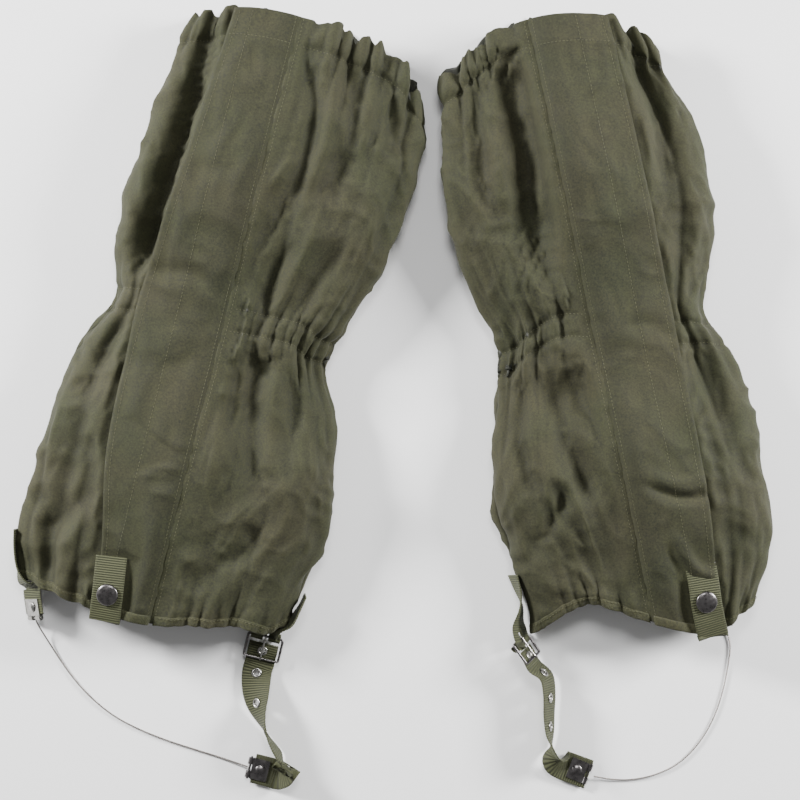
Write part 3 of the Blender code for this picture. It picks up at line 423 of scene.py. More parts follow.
def to_world(gaiter, points):
    """Layout points in millimetres, as an array of world points in metres."""
    matrix = np.array(leg_frame(gaiter))
    local = np.asarray(points, float) * MM
    local = local * np.array((gaiter.hand, 1.0, 1.0))
    return local @ matrix[:3, :3].T + matrix[:3, 3]


# The cloth of a leg tube, as a grid of points: rows go up the leg, columns go round it

def even_turns(gaiter, v, start, end, count):
    """count turns from start towards end, evenly spaced along the cloth of every row."""
    share = np.linspace(0.0, 1.0, 160)
    turns = start[:, None] + (end - start)[:, None] * share
    points = skin(gaiter, v[:, None], turns)[0]
    steps = np.linalg.norm(np.diff(points, axis=1), axis=2)
    path = np.concatenate([np.zeros((len(v), 1)), np.cumsum(steps, axis=1)], axis=1)
    wanted = np.linspace(0.0, 1.0, count + 1)[:-1]
    return np.array([np.interp(wanted * row[-1], row, line) for row, line in zip(path, turns)])


def leg_grid(gaiter):
    """Rows (v) and turns of the cloth grid: front panel, outer panel, back panel."""
    v = np.linspace(0.0, 1.0, ROWS)
    zero = np.zeros(ROWS)
    at_seam = turn_at(gaiter, v, seam(gaiter, v))
    front = even_turns(gaiter, v, zero, at_seam, FRONT_COLUMNS)
    outer = even_turns(gaiter, v, at_seam, zero + 180.0, OUTER_COLUMNS)
    back = even_turns(gaiter, v, zero + 180.0, zero + 360.0, BACK_COLUMNS)
    return v[:, None], np.concatenate([front, outer, back], axis=1)


def beside_flap(gaiter, v, s, turn):
    """0 under the flap, where the cloth isn't gathered, rising to 1 beside it."""
    inside = ease((s - seam(gaiter, v) - 5.0) / 10.0)
    outside = ease((flap_edge(gaiter, v) + 4.0 - s) / 9.0)
    return np.where((turn > 0.0) & (turn < 180.0), np.maximum(inside, outside), 1.0)


def pleats(along, pitch, seed):
    """Round ridges with sharp valleys between them, from -0.6 to 0.4."""
    phase = along / pitch + 0.8 * waver(along / pitch / 2.3, seed)
    strength = 0.75 + 0.5 * waver(along / pitch / 1.7, seed + 1)
    return (np.abs(np.sin(math.pi * phase)) ** 0.75 - 0.6) * strength


def gathers(gaiter, v, along):
    """Height of the folds that run out of the three elastics."""
    waist = float(v_at(gaiter, 60.0, gaiter.waist))
    casing = CASING / LEG
    channel = CHANNEL / 2 / LEG
    bands = ((0.0, BINDING_WIDTH / LEG, 0.8),
             (waist - channel, waist + channel, 1.1),
             (1.0 - casing, 1.0, 1.25))
    total = np.zeros(np.broadcast(v, along).shape)
    for number, (low, high, strength) in enumerate(bands):
        distance = LEG * np.maximum(np.maximum(low - v, v - high), 0.0)
        above = (v > (low + high) / 2) * 50
        for pitch, height, reach in ((8.5, 1.5, 9.0), (17.0, 3.6, 24.0), (39.0, 7.0, 70.0)):
            seed = gaiter.seed * 100 + number * 10 + int(pitch)
            length = reach * (1.0 + 0.65 * waver(along / pitch / 1.3 + above, seed + 5))
            total += strength * height * pleats(along, pitch, seed) * np.exp(-distance / length)
    return total


def distance_to(path, s, y):
    """Distance to a line through given points and the fraction of it that is nearest."""
    dense = along_points(path, np.linspace(0, len(path) - 1, 40))
    gap = np.hypot(s[..., None] - dense[:, 0], y[..., None] - dense[:, 1])
    nearest = gap.argmin(axis=-1)
    return np.take_along_axis(gap, nearest[..., None], -1)[..., 0], nearest / 39.0


def line_heights(folds, s, y):
    """Height of the listed folds."""
    total = np.zeros(s.shape)
    for path, height, width in folds:
        gap, share = distance_to(path, s, y)
        taper = ease(share / 0.25 + 0.25) * ease((1 - share) / 0.35 + 0.05)
        total += height * taper * np.exp(-(gap / width) ** 2 * 1.2)
    return total


def crumple(x, y, seed):
    """Soft dents with creases between them, as well-used cotton has, from about -0.5 to 0.5."""
    bent_x = x + 0.5 * ripple(x * 0.7 + 3.0, y * 0.7, seed + 1)
    bent_y = y + 0.5 * ripple(x * 0.7, y * 0.7 + 5.0, seed + 2)
    broad = np.abs(ripple(bent_x, bent_y, seed + 3)) ** 0.8
    small = np.abs(ripple(bent_x * 2.3 + 9.0, bent_y * 2.1, seed + 4)) ** 0.8
    return 0.8 - broad - 0.5 * small


def leg_cloth(gaiter):
    """The cloth grid with its folds, its distance round the cut panels, and its rows and turns."""
    v, turn = leg_grid(gaiter)
    points, normal = skin(gaiter, v, turn, -0.5)
    s, y = points[..., 0], points[..., 1]
    across = cut_across(points)
    along = across[None, :-1] + np.zeros_like(turn)
    side = beside_flap(gaiter, v, s, turn)
    height = gathers(gaiter, v, along) * side
    height += 3.6 * side * ripple(along / 38.0, y / 46.0 + 7.0, gaiter.seed)
    height += CRUMPLE * side * crumple(along / 34.0, y / 42.0 + 9.0, gaiter.seed + 20)
    on_top = ease(np.minimum(turn, 180.0 - turn) / 16.0)
    height += line_heights(gaiter.folds, s, y) * on_top * side
    under = (turn > 200.0) & (turn < 340.0)
    height = np.where(under, -np.abs(height) * 0.5, height)
    height = np.where(side < 1.0, np.minimum(height, 1.5 * side), height)
    from_seam = s - seam(gaiter, v)
    front = (turn > 0.0) & (turn < 180.0)
    height += np.where(front, SEAM_RISE * ease(1.0 + from_seam / 12.0) * ease(1.0 - from_seam / 45.0), 0.0)
    points = points + normal * height[..., None]
    wander = np.where(v > 0.5, 1.0, -0.3) * ends_only(v)
    points[..., 1] += wander * gathers(gaiter, v, along + 3.0) * side * 1.25
    points[..., 2] = np.maximum(points[..., 2], 0.6)
    return points, across, v, turn


def ends_only(v):
    """1 at the rim and the hem, falling to 0 a casing's width away."""
    return ease(1.0 - np.minimum(v, 1.0 - v) * LEG / CASING)


def cut_across(points):
    """Where each column lies across the cut cloth: every panel is as wide as its fullest row."""
    ring = np.concatenate([points, points[:, :1]], axis=1)
    steps = np.linalg.norm(np.diff(ring, axis=1), axis=2)
    spacing = []
    start = 0
    for count in (FRONT_COLUMNS, OUTER_COLUMNS, BACK_COLUMNS):
        fullest = steps[:, start:start + count].sum(axis=1).max()
        spacing += [fullest / count] * count
        start += count
    return np.concatenate([[0.0], np.cumsum(spacing)])


# Cloth simulation

def relax(gaiter, points, across, v, side):
    """Run the cloth between the elastics through the simulation, which barely moves it (see SIM_SCALE)."""
    made = grid_object("loose_cloth", points * MM * SIM_SCALE, closed=True)
    waist = float(v_at(gaiter, 60.0, gaiter.waist))
    from_elastic = np.minimum(np.abs(v - waist) - CHANNEL / 2 / LEG, (1.0 - v) - CASING / LEG)
    from_elastic = np.minimum(from_elastic, v - BINDING_WIDTH / LEG) * LEG
    held = 1.0 - (1.0 - HELD_LOOSELY) * ease(from_elastic / 16.0) * ease(side * 1.4)
    on_floor = points[..., 2] < ON_FLOOR
    held = np.where(on_floor, 1.0, held)
    simulate(made, across, held)
    result = made.evaluated_get(bpy.context.evaluated_depsgraph_get()).to_mesh()
    settled = np.empty(points.size)
    result.vertices.foreach_get("co", settled)
    bpy.data.objects.remove(made)
    bpy.context.scene.frame_set(1)
    return settled.reshape(points.shape) / MM / SIM_SCALE


def simulate(made, across, held):
    """Run the cloth from where it lies towards the size it was cut to."""
    rows = held.shape[0]
    made.shape_key_add(name="lying")
    radius = across[-1] / (2 * math.pi)
    turn = across[:-1] / radius
    height = np.linspace(0.0, LEG, rows)[:, None]
    tube = np.stack(np.broadcast_arrays(-radius * np.cos(turn), height, radius * np.sin(turn)), axis=-1)
    cut_size = made.shape_key_add(name="cut")
    cut_size.data.foreach_set("co", (tube * MM * SIM_SCALE).ravel())
    group = made.vertex_groups.new(name="held")
    for number, weight in enumerate(held.ravel()):
        group.add([number], float(weight), "REPLACE")
    cloth = made.modifiers.new("settle", "CLOTH")
    settings = cloth.settings
    settings.quality = 6
    settings.mass = 0.3
    settings.tension_stiffness = settings.compression_stiffness = 30.0
    settings.shear_stiffness = 8.0
    settings.bending_stiffness = 0.35
    settings.tension_damping = settings.compression_damping = settings.shear_damping = 8.0
    settings.bending_damping = 1.0
    settings.air_damping = 3.0
    settings.vertex_group_mass = group.name
    settings.pin_stiffness = 1.0
    settings.rest_shape_key = cut_size
    settings.effector_weights.gravity = 0.0
    settings.use_pressure = True
    settings.uniform_pressure_force = 0.15
    cloth.point_cache.frame_end = SIM_FRAMES
    for frame_number in range(1, SIM_FRAMES + 1):
        bpy.context.scene.frame_set(frame_number)


# Grids to meshes

def finer(grid, factor, wrap):
    """A grid with more columns and rows, on smooth curves through its points."""
    for axis, closed in ((0, False), (1, wrap)):
        grid = np.moveaxis(grid, axis, 0)
        count = len(grid)
        if closed:
            at = np.arange(count * factor) / factor
            index = np.floor(at).astype(int)
            picks = [grid[(index + offset) % count] for offset in (-1, 0, 1, 2)]
        else:
            at = np.arange((count - 1) * factor + 1) / factor
            index = np.minimum(np.floor(at).astype(int), count - 2)
            picks = [grid[np.clip(index + offset, 0, count - 1)] for offset in (-1, 0, 1, 2)]
            picks[0] = np.where((index == 0)[:, None, None], 2 * picks[1] - picks[2], picks[0])
            picks[3] = np.where((index == count - 2)[:, None, None], 2 * picks[2] - picks[1], picks[3])
        t = (at - index)[:, None, None]
        a, b, c, d = picks
        grid = b + 0.5 * t * (c - a + t * (2 * a - 5 * b + 4 * c - d + t * (3 * (b - c) + d - a)))
        grid = np.moveaxis(grid, 0, axis)
    return grid


def grid_normals(points, wrap):
    """Unit normals of a grid: up its rows crossed with along its columns' order."""
    across = np.roll(points, -1, 1) - np.roll(points, 1, 1)
    if not wrap:
        across[:, 0] = points[:, 1] - points[:, 0]
        across[:, -1] = points[:, -1] - points[:, -2]
    up = np.gradient(points, axis=0)
    normal = np.cross(up, across)
    return normal / np.linalg.norm(normal, axis=-1, keepdims=True)


def hollow(points, normal, wrap, reach=3):
    """How far each point of a grid stands above its surroundings, in millimetres."""
    total = np.zeros(points.shape[:2])
    for shift in (1, reach):
        around = (np.roll(points, shift, 1) + np.roll(points, -shift, 1)) / 2
        if not wrap:
            around[:, :shift] = points[:, :shift]
            around[:, -shift:] = points[:, -shift:]
        total += ((points - around) * normal).sum(-1)
    return total


def grid_object(name, points, closed=False, flip=False, cloth_at=None, wear_and_shade=None):
    """A mesh of quads through a grid of points in metres."""
    rows, columns = points.shape[:2]
    number = np.arange(rows * columns).reshape(rows, columns)
    if closed:
        number = np.concatenate([number, number[:, :1]], axis=1)
    corners = [number[:-1, :-1], number[1:, :-1], number[1:, 1:], number[:-1, 1:]]
    if flip:
        corners = corners[::-1]
    faces = np.stack(corners, axis=-1).reshape(-1, 4)
    mesh = bpy.data.meshes.new(name)
    mesh.from_pydata(points.reshape(-1, 3), [], faces.tolist())
    mesh.shade_smooth()
    if cloth_at is not None:
        layer = mesh.uv_layers.new(name="cut")
        layer.data.foreach_set("uv", cloth_at.reshape(-1, 2)[faces.ravel()].astype(np.float32).ravel())
    # How far the cloth stands proud; the cloth material shows it as wear on ridges and painted shade in
    # hollows.
    if wear_and_shade is not None:
        attribute = mesh.attributes.new("relief", "FLOAT", "POINT")
        attribute.data.foreach_set("value", wear_and_shade.astype(np.float32).ravel())
    made = bpy.data.objects.new(name, mesh)
    bpy.context.scene.collection.objects.link(made)
    return made


def thicken(made, thickness):
    """Give a sheet its thickness, with the lining's material on its inner face."""
    shell = made.modifiers.new("thickness", "SOLIDIFY")
    shell.thickness = thickness * MM
    shell.offset = -1.0
    if len(made.data.materials) > 1:
        shell.material_offset = 1
    return made


# Materials

class Nodes:
    """A short way to wire a material's nodes."""

    def __init__(self, name):
        self.material = bpy.data.materials.new(name)
        self.material.use_nodes = True
        self.tree = self.material.node_tree
        self.shader = self.tree.nodes["Principled BSDF"]

    def add(self, kind, inputs=(), **settings):
        node = self.tree.nodes.new("ShaderNode" + kind)
        for key, value in settings.items():
            setattr(node, key, value)
        for key, value in dict(inputs).items():
            self.set(node.inputs[key], value)
        return node

    def set(self, socket, value):
        if isinstance(value, bpy.types.NodeSocket):
            self.tree.links.new(value, socket)
        else:
            socket.default_value = value

    def math(self, operation, first, second=0.0):
        return self.add("Math", {0: first, 1: second}, operation=operation).outputs[0]

    def noise(self, vector, scale, detail=2.0, roughness=0.5):
        inputs = {"Vector": vector, "Scale": scale, "Detail": detail, "Roughness": roughness}
        return self.add("TexNoise", inputs).outputs["Fac"]

    def spread(self, value, low, high, to_low, to_high):
        inputs = {"Value": value, "From Min": low, "From Max": high, "To Min": to_low, "To Max": to_high}
        return self.add("MapRange", inputs).outputs["Result"]

    def colours(self, factor, *stops):
        ramp = self.add("ValToRGB", {"Fac": factor})
        while len(ramp.color_ramp.elements) < len(stops):
            ramp.color_ramp.elements.new(0.5)
        for element, (place, colour) in zip(ramp.color_ramp.elements, stops):
            element.position = place
            element.color = (*colour, 1.0)
        return ramp.outputs["Color"]

    def bump(self, height, distance, strength=1.0):
        bump = self.add("Bump", {"Height": height, "Distance": distance, "Strength": strength})
        self.tree.links.new(bump.outputs["Normal"], self.shader.inputs["Normal"])

    def finish(self, roughness, colour=None, metallic=0.0, sheen=0.0):
        if colour is not None:
            self.set(self.shader.inputs["Base Color"], colour)
        self.set(self.shader.inputs["Roughness"], roughness)
        self.shader.inputs["Metallic"].default_value = metallic
        self.shader.inputs["Sheen Weight"].default_value = sheen
        self.shader.inputs["Sheen Roughness"].default_value = 0.5
        self.shader.inputs["Specular IOR Level"].default_value = 0.5 if metallic else 0.32
        return self.material


def shade(colour, factor):
    return tuple(channel * factor for channel in colour)


OLIVE = (0.0245, 0.0265, 0.0108)
OLIVE_BROWN = (0.0268, 0.0258, 0.0116)
OLIVE_THREAD = (0.072, 0.071, 0.038)


def cloth_material(name, colour=OLIVE, second=OLIVE_BROWN, light=1.0, weave=1.0):
    """Fine twill with a grainy speckle, cloudy dye, wear where it stands proud and painted shade in its
    hollows.
    """
    made = Nodes(name)
    place = made.add("UVMap", uv_map="cut").outputs["UV"]
    solid = made.add("TexCoord").outputs["Object"]
    parts = made.add("SeparateXYZ", {"Vector": place})
    across, up = parts.outputs["X"], parts.outputs["Y"]
    diagonal = made.math("ADD", made.math("MULTIPLY", across, 1.0), made.math("MULTIPLY", up, 0.6))
    twill = made.math("SINE", made.math("MULTIPLY", diagonal, 2 * math.pi / 0.0011))
    weft = made.math("SINE", made.math("MULTIPLY", up, 2 * math.pi / 0.0008))
    yarn = made.math("ADD", made.math("MULTIPLY", twill, 0.6), made.math("MULTIPLY", weft, 0.4))
    speckle = made.noise(solid, 620.0, 3.0, 0.75)
    cloud = made.noise(solid, 16.0, 4.0, 0.55)
    relief = made.add("Attribute", attribute_name="relief").outputs["Fac"]
    grain = made.spread(speckle, 0.3, 0.7, -0.55, 0.55)
    tone = made.math("ADD", grain, made.spread(yarn, -1, 1, -0.08, 0.08))
    # Lighter where the cloth stands proud, as wear, and darker in its hollows, as painted shade.
    tone = made.math("ADD", tone, made.spread(relief, -0.7, 0.7, -0.14, 0.14))
    tone = made.math("ADD", tone, made.spread(cloud, 0.3, 0.7, -0.06, 0.06))
    dye = made.colours(made.spread(cloud, 0.35, 0.65, 0.0, 1.0), (0.0, colour), (1.0, second))
    lit = made.math("MULTIPLY", made.math("ADD", tone, 1.0), light)
    final = made.add("VectorMath", {0: dye, 3: lit}, operation="SCALE").outputs[0]
    height = made.math("ADD", made.math("MULTIPLY", yarn, 0.5), speckle)
    made.bump(height, 0.00012 * weave, 0.8)
    return made.finish(made.spread(speckle, 0.3, 0.7, 0.72, 0.9), final, sheen=0.03)


def lining_material():
    """The dark rubbery coating inside the cloth."""
    made = Nodes("coated_lining")
    solid = made.add("TexCoord").outputs["Object"]
    cloud = made.noise(solid, 60.0, 4.0)
    colour = made.colours(cloud, (0.3, (0.016, 0.017, 0.011)), (0.7, (0.024, 0.025, 0.017)))
    made.bump(made.noise(solid, 1500.0, 2.0), 0.0001, 0.5)
    return made.finish(made.spread(cloud, 0.3, 0.7, 0.5, 0.65), colour)


def webbing_material(name="ribbed_webbing", colour=(0.040, 0.043, 0.019), light=1.0):
    """Nylon webbing: warp yarns along it over the ribs that its mesh has."""
    made = Nodes(name)
    place = made.add("UVMap", uv_map="cut").outputs["UV"]
    solid = made.add("TexCoord").outputs["Object"]
    parts = made.add("SeparateXYZ", {"Vector": place})
    warp = made.math("SINE", made.math("MULTIPLY", parts.outputs["X"], 2 * math.pi / 0.0007))
    rib = made.math("SINE", made.math("MULTIPLY", parts.outputs["Y"], 2 * math.pi / (RIB_PITCH * MM)))
    speckle = made.noise(solid, 1100.0, 3.0, 0.7)
    tone = made.math("ADD", made.spread(speckle, 0.3, 0.7, -0.2, 0.2), made.spread(rib, -1, 1, -0.5, 0.45))
    lit = made.math("MULTIPLY", made.math("ADD", tone, 1.0), light)
    cloud = made.noise(solid, 40.0, 3.0)
    dye = made.colours(cloud, (0.35, colour), (0.65, shade(colour, 1.15)))
    final = made.add("VectorMath", {0: dye, 3: lit}, operation="SCALE").outputs[0]
    made.bump(made.math("ADD", made.math("MULTIPLY", warp, 0.4), speckle), 0.00012, 0.8)
    return made.finish(made.spread(speckle, 0.3, 0.7, 0.6, 0.8), final, sheen=0.03)


def metal_material(name, colour, roughness, wear_and_shade=1.5):
    """Plated metal with fine scratches and a cloudy tarnish."""
    made = Nodes(name)
    solid = made.add("TexCoord").outputs["Object"]
    tarnish = made.noise(solid, 300.0, 5.0, 0.6)
    stretched = made.add("Mapping", {"Vector": solid, "Scale": (900.0, 6000.0, 900.0)}).outputs["Vector"]
    scratch = made.noise(stretched, 1.0, 2.0)
    tint = made.colours(tarnish, (0.3, shade(colour, 0.7)), (0.62, colour), (0.8, shade(colour, wear_and_shade)))
    made.bump(scratch, 0.00002, 0.4)
    return made.finish(made.spread(tarnish, 0.3, 0.7, roughness, roughness + 0.16), tint, metallic=1.0)


def pile_material(name, colour):
    """Hook-and-loop tape: a dense fuzzy pile."""
    made = Nodes(name)
    solid = made.add("TexCoord").outputs["Object"]
    cells = made.add("TexVoronoi", {"Vector": solid, "Scale": 900.0}).outputs["Distance"]
    tint = made.colours(cells, (0.0, shade(colour, 1.6)), (0.6, shade(colour, 0.6)))
    made.bump(cells, 0.0004, 1.0)
    return made.finish(0.9, tint, sheen=0.03)


def thread_material():
    made = Nodes("sewing_thread")
    solid = made.add("TexCoord").outputs["Object"]
    twist = made.noise(solid, 2500.0, 2.0)
    tint = made.colours(twist, (0.3, shade(OLIVE_THREAD, 0.8)), (0.7, shade(OLIVE_THREAD, 1.2)))
    made.bump(twist, 0.0001, 0.6)
    return made.finish(0.65, tint)


def cable_material():
    """Stranded steel wire."""
    made = Nodes("stranded_steel")
    solid = made.add("TexCoord").outputs["Object"]
    strands = made.add("TexWave", {"Vector": solid, "Scale": 700.0, "Distortion": 1.0},
                       bands_direction="DIAGONAL")
    tint = made.colours(strands.outputs["Fac"], (0.2, (0.12, 0.10, 0.09)), (0.8, (0.38, 0.35, 0.33)))
    made.bump(strands.outputs["Fac"], 0.0001, 0.8)
    return made.finish(0.35, tint, metallic=0.9)


def floor_material():
    made = Nodes("pale_floor")
    solid = made.add("TexCoord").outputs["Object"]
    cloud = made.noise(solid, 3.0, 2.0)
    tint = made.colours(cloud, (0.4, (0.95, 0.95, 0.95)), (0.6, (0.96, 0.96, 0.96)))
    return made.finish(0.9, tint)


# Sleeve, bindings and flap

def panel(gaiter, name, leg, columns):
    """One cut panel of the sleeve, replacing its CAD solid."""
    points, across, wear_and_shade = leg["points"], leg["across"], leg["wear_and_shade"]
    picked = np.arange(columns[0], columns[1] + 1)
    inside = picked % points.shape[1]
    up = np.linspace(0.0, LEG, points.shape[0])[:, None]
    cloth_at = np.stack(np.broadcast_arrays(across[picked], up), axis=-1)
    made = grid_object(f"{gaiter.name}_{name}_cloth", to_world(gaiter, points[:, inside]),
                       flip=gaiter.hand < 0, cloth_at=cloth_at * MM, wear_and_shade=wear_and_shade[:, inside])
    made.data.materials.append(looks["cloth"])
    made.data.materials.append(looks["lining"])
    thicken(made, FABRIC)
    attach(made, gaiter.name + "_gaiter")
    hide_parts(f"{gaiter.name}_{name}")
    return made


def sleeve(gaiter):
    """The three panels of the leg tube, and the data that the sewing on them needs."""
    points, across, v, turn = leg_cloth(gaiter)
    points = relax(gaiter, points, across, v, beside_flap(gaiter, v, points[..., 0], turn))
    points = finer(points, FINER, True)
    all_round = np.concatenate([turn, turn[:, :1] + 360.0], axis=1)[..., None]
    turn = finer(all_round, FINER, False)[:, :-1, 0]
    across = np.interp(np.arange(points.shape[1] + 1) / FINER, np.arange(len(across)), across)
    points = points + grid_normals(points, True) * puckers(gaiter, points, turn)[..., None]
    up = np.linspace(0.0, LEG, points.shape[0])[:, None]
    points[..., 2] = np.maximum(points[..., 2], 0.4 + 1.1 * ease(1.6 - up / BINDING_WIDTH))
    normal = grid_normals(points, True)
    # The cloth's relief goes with it, for wear on its ridges and painted shade in its hollows.
    leg = {"points": points, "across": across, "wear_and_shade": hollow(points, normal, True), "normal": normal}
    front, outer = FRONT_COLUMNS * FINER, (FRONT_COLUMNS + OUTER_COLUMNS) * FINER
    spans = {"front_panel": (0, front), "outer_panel": (front, outer), "back_panel": (outer, points.shape[1])}
    for name, columns in spans.items():
        panel(gaiter, name, leg, columns)
    elastics(gaiter, leg)
    return leg


def elastics(gaiter, leg):
    """The two elastics inside the cloth, gathered with it."""
    rows = leg["points"].shape[0] - 1
    waist = float(v_at(gaiter, 60.0, gaiter.waist))
    reach = 6.0 / LEG
    for name, middle in (("top_elastic", 1.0 - CASING / 2 / LEG), ("mid_elastic", waist)):
        low, high = round((middle - reach) * rows), round((middle + reach) * rows)
        inside = leg["points"][low:high + 1] - leg["normal"][low:high + 1] * (FABRIC + 1.5)
        inside[..., 2] = np.maximum(inside[..., 2], FABRIC + 0.9)
        up = np.linspace(-reach, reach, high - low + 1)[:, None] * LEG
        cloth_at = np.stack(np.broadcast_arrays(leg["across"][None, :-1], up), axis=-1)
        made = grid_object(f"{gaiter.name}_{name}_band", to_world(gaiter, inside), closed=True,
                           flip=gaiter.hand < 0, cloth_at=cloth_at * MM)
        made.data.materials.append(looks["elastic"])
        thicken(made, 0.8)
        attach(made, gaiter.name + "_gaiter")
        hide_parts(f"{gaiter.name}_{name}")


def puckers(gaiter, points, turn):
    """Height of the small tucks that stitching leaves in the cloth."""
    s, y = points[..., 0], points[..., 1]
    rows = points.shape[0]
    v = np.linspace(0.0, 1.0, rows)[:, None]
    total = np.zeros(turn.shape)
    on_top = (turn > 2.0) & (turn < 178.0)
    for number, (line, reach) in enumerate(((seam(gaiter, v) + 2.0, 7.0), (flap_edge(gaiter, v), 5.0))):
        near = np.exp(-((s - line) / reach) ** 2)
        total += np.where(on_top, near * 0.45 * waver(y / 6.5, gaiter.seed + 40 + number), 0.0)
    side = beside_flap(gaiter, v, s, turn)
    waist = float(v_at(gaiter, 60.0, gaiter.waist))
    total += 1.8 * side * crumple(s / 25.0 + 20.0, y / 31.0, gaiter.seed + 60)
    total += 1.2 * side * np.exp(-((1.0 - v) * LEG / CASING - 0.5) ** 2 * 9.0)
    for line in (waist - CHANNEL / 2 / LEG, waist + CHANNEL / 2 / LEG, 1.0 - CASING / LEG):
        total -= side * 1.7 * np.exp(-((v - line) * LEG / 3.2) ** 2)
    return total


def flap_points(gaiter, rows, columns=26):
    """The flap's surface: a smooth band that stands a little off the under-lap."""
    v = np.linspace(0.0, 1.0, rows)[:, None]
    share = np.linspace(0.0, 1.0, columns)[None, :] ** 0.9
    root = seam(gaiter, v) + 1.5
    s = root + share * (flap_edge(gaiter, v) - root)
    from_root, from_edge = root - s, s - flap_edge(gaiter, v)
    y = v * LEG + np.zeros_like(s)
    lowest = SEAM_RISE - 1.0 + 2.2 * ease(from_root / 6.0) + 0.8 * ease(from_root / 18.0)
    lift = lowest + 2.2 * ease(from_root / 16.0)
    lift = lift + 0.8 * ripple(s / 34.0 + 9.0, y / 40.0, gaiter.seed + 3) * ease(from_root / 8.0)
    lift = lift + 3.0 * ripple(s / 52.0 + 12.0, y / 46.0, gaiter.seed + 31) * ease(from_root / 16.0)
    lift = lift + 2.3 * crumple(s / 28.0 + 12.0, y / 34.0, gaiter.seed + 30) * ease(from_root / 10.0)
    lift = lift + 1.4 * line_heights(gaiter.flap_folds, s, y) * ease(from_root / 8.0)
    lift = lift + 0.9 * waver(y / 44.0, gaiter.seed + 4) * ease(1 - from_edge / 16.0)
    lift = np.maximum(lift, lowest)
    middle, top = gaiter.tab[1][0], gaiter.tab[0][1]
    from_tab = np.maximum(np.maximum(np.abs(s - middle) - WEBBING_WIDTH / 2 - 3.0, y - top - 2.0), 0.0)
    lift = np.minimum(lift, UNDER_TAB + 7.0 * ease(from_tab / 18.0))
    lift = lift + 0.25 * waver(y / 6.5, gaiter.seed + 40) * ease(1 - from_root / 12.0)
    lift = lift + 0.22 * waver(y / 7.5, gaiter.seed + 8) * ease(1 - from_edge / 9.0)
    points = skin(gaiter, v, turn_at(gaiter, v, s), lift)[0]
    cloth_at = np.stack([from_root + 40.0, y], axis=-1)
    return points, cloth_at


def flap(gaiter):
    """The closure flap's cloth, rising from its seam beside the sleeve."""
    rows = (ROWS - 1) * FINER + 1
    points, cloth_at = flap_points(gaiter, rows)
    normal = -grid_normals(points, False)
    # The flap's relief, for wear on its ridges and painted shade in its hollows.
    wear_and_shade = hollow(points, normal, False)
    made = grid_object(gaiter.name + "_flap_cloth", to_world(gaiter, points), flip=gaiter.hand < 0,
                       cloth_at=cloth_at * MM, wear_and_shade=wear_and_shade)
    made.data.materials.append(looks["cloth"])
    thicken(made, FLAP_CLOTH)
    join_at_seam(made)
    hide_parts(gaiter.name + "_flap_panel")
    return {"points": points, "normal": normal}


def join_at_seam(made):
    """Bake a flap piece's placement into its mesh."""
    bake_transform(made)


def edge_binding(gaiter, name, path, outward, up, body):
    """A tape folded over a cloth edge: path runs along the edge, up points into the cloth."""
    outline = []
    half = BINDING_WIDTH / 2
    for angle in np.linspace(0.0, 2 * math.pi, 17)[:-1]:
        x, y = math.cos(angle), math.sin(angle)
        outline.append((1.25 * math.copysign(abs(x) ** 0.6, x), half * math.copysign(abs(y) ** 0.6, y)))
    ring = np.array([path + outward * x + up * (y + half - 1.6) for x, y in outline])
    ring = np.moveaxis(ring, 0, 1)
    distance = np.concatenate([[0], np.cumsum(np.linalg.norm(np.diff(path, axis=0), axis=1))])
    cloth_at = np.stack(np.broadcast_arrays(np.arange(16)[None, :] * 1.1, distance[:, None]), axis=-1)
    made = grid_object(f"{gaiter.name}_{name}", to_world(gaiter, ring), closed=True,
                       flip=gaiter.hand < 0, cloth_at=cloth_at * MM)
    cap_ends(made, 16)
    made.data.materials.append(looks["binding"])
    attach(made, body)
    return made


def cap_ends(made, around):
    """Close both ends of a tube made from rings."""
    shape = bmesh.new()
    shape.from_mesh(made.data)
    shape.verts.ensure_lookup_table()
    count = len(shape.verts)
    first = [shape.verts[number] for number in range(around)]
    last = [shape.verts[count - around + number] for number in range(around)]
    for loop in (first, last):
        shape.faces.new(loop)
    bmesh.ops.recalc_face_normals(shape, faces=shape.faces)
    shape.to_mesh(made.data)
    shape.free()


def hem(gaiter, leg, cover):
    """The bound hems of the sleeve and the flap."""
    edge, normal = leg["points"][0], leg["normal"][0]
    start = FRONT_COLUMNS * FINER
    order = np.arange(start + 2, start + len(edge) - 1) % len(edge)
    up = leg["points"][2] - leg["points"][0]
    up /= np.linalg.norm(up, axis=-1, keepdims=True)
    binding = edge_binding(gaiter, "hem_edge", edge[order] - normal[order] * 0.45, normal[order], up[order],
                           gaiter.name + "_gaiter")
    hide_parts(gaiter.name + "_hem_binding")
    path = cover["points"][0, 1:] + cover["normal"][0, 1:] * -0.65
    up = cover["points"][2, 1:] - cover["points"][0, 1:]
    up /= np.linalg.norm(up, axis=-1, keepdims=True)
    edge_binding(gaiter, "flap_hem_edge", path, cover["normal"][0, 1:], up, gaiter.name + "_flap")


# Stitching

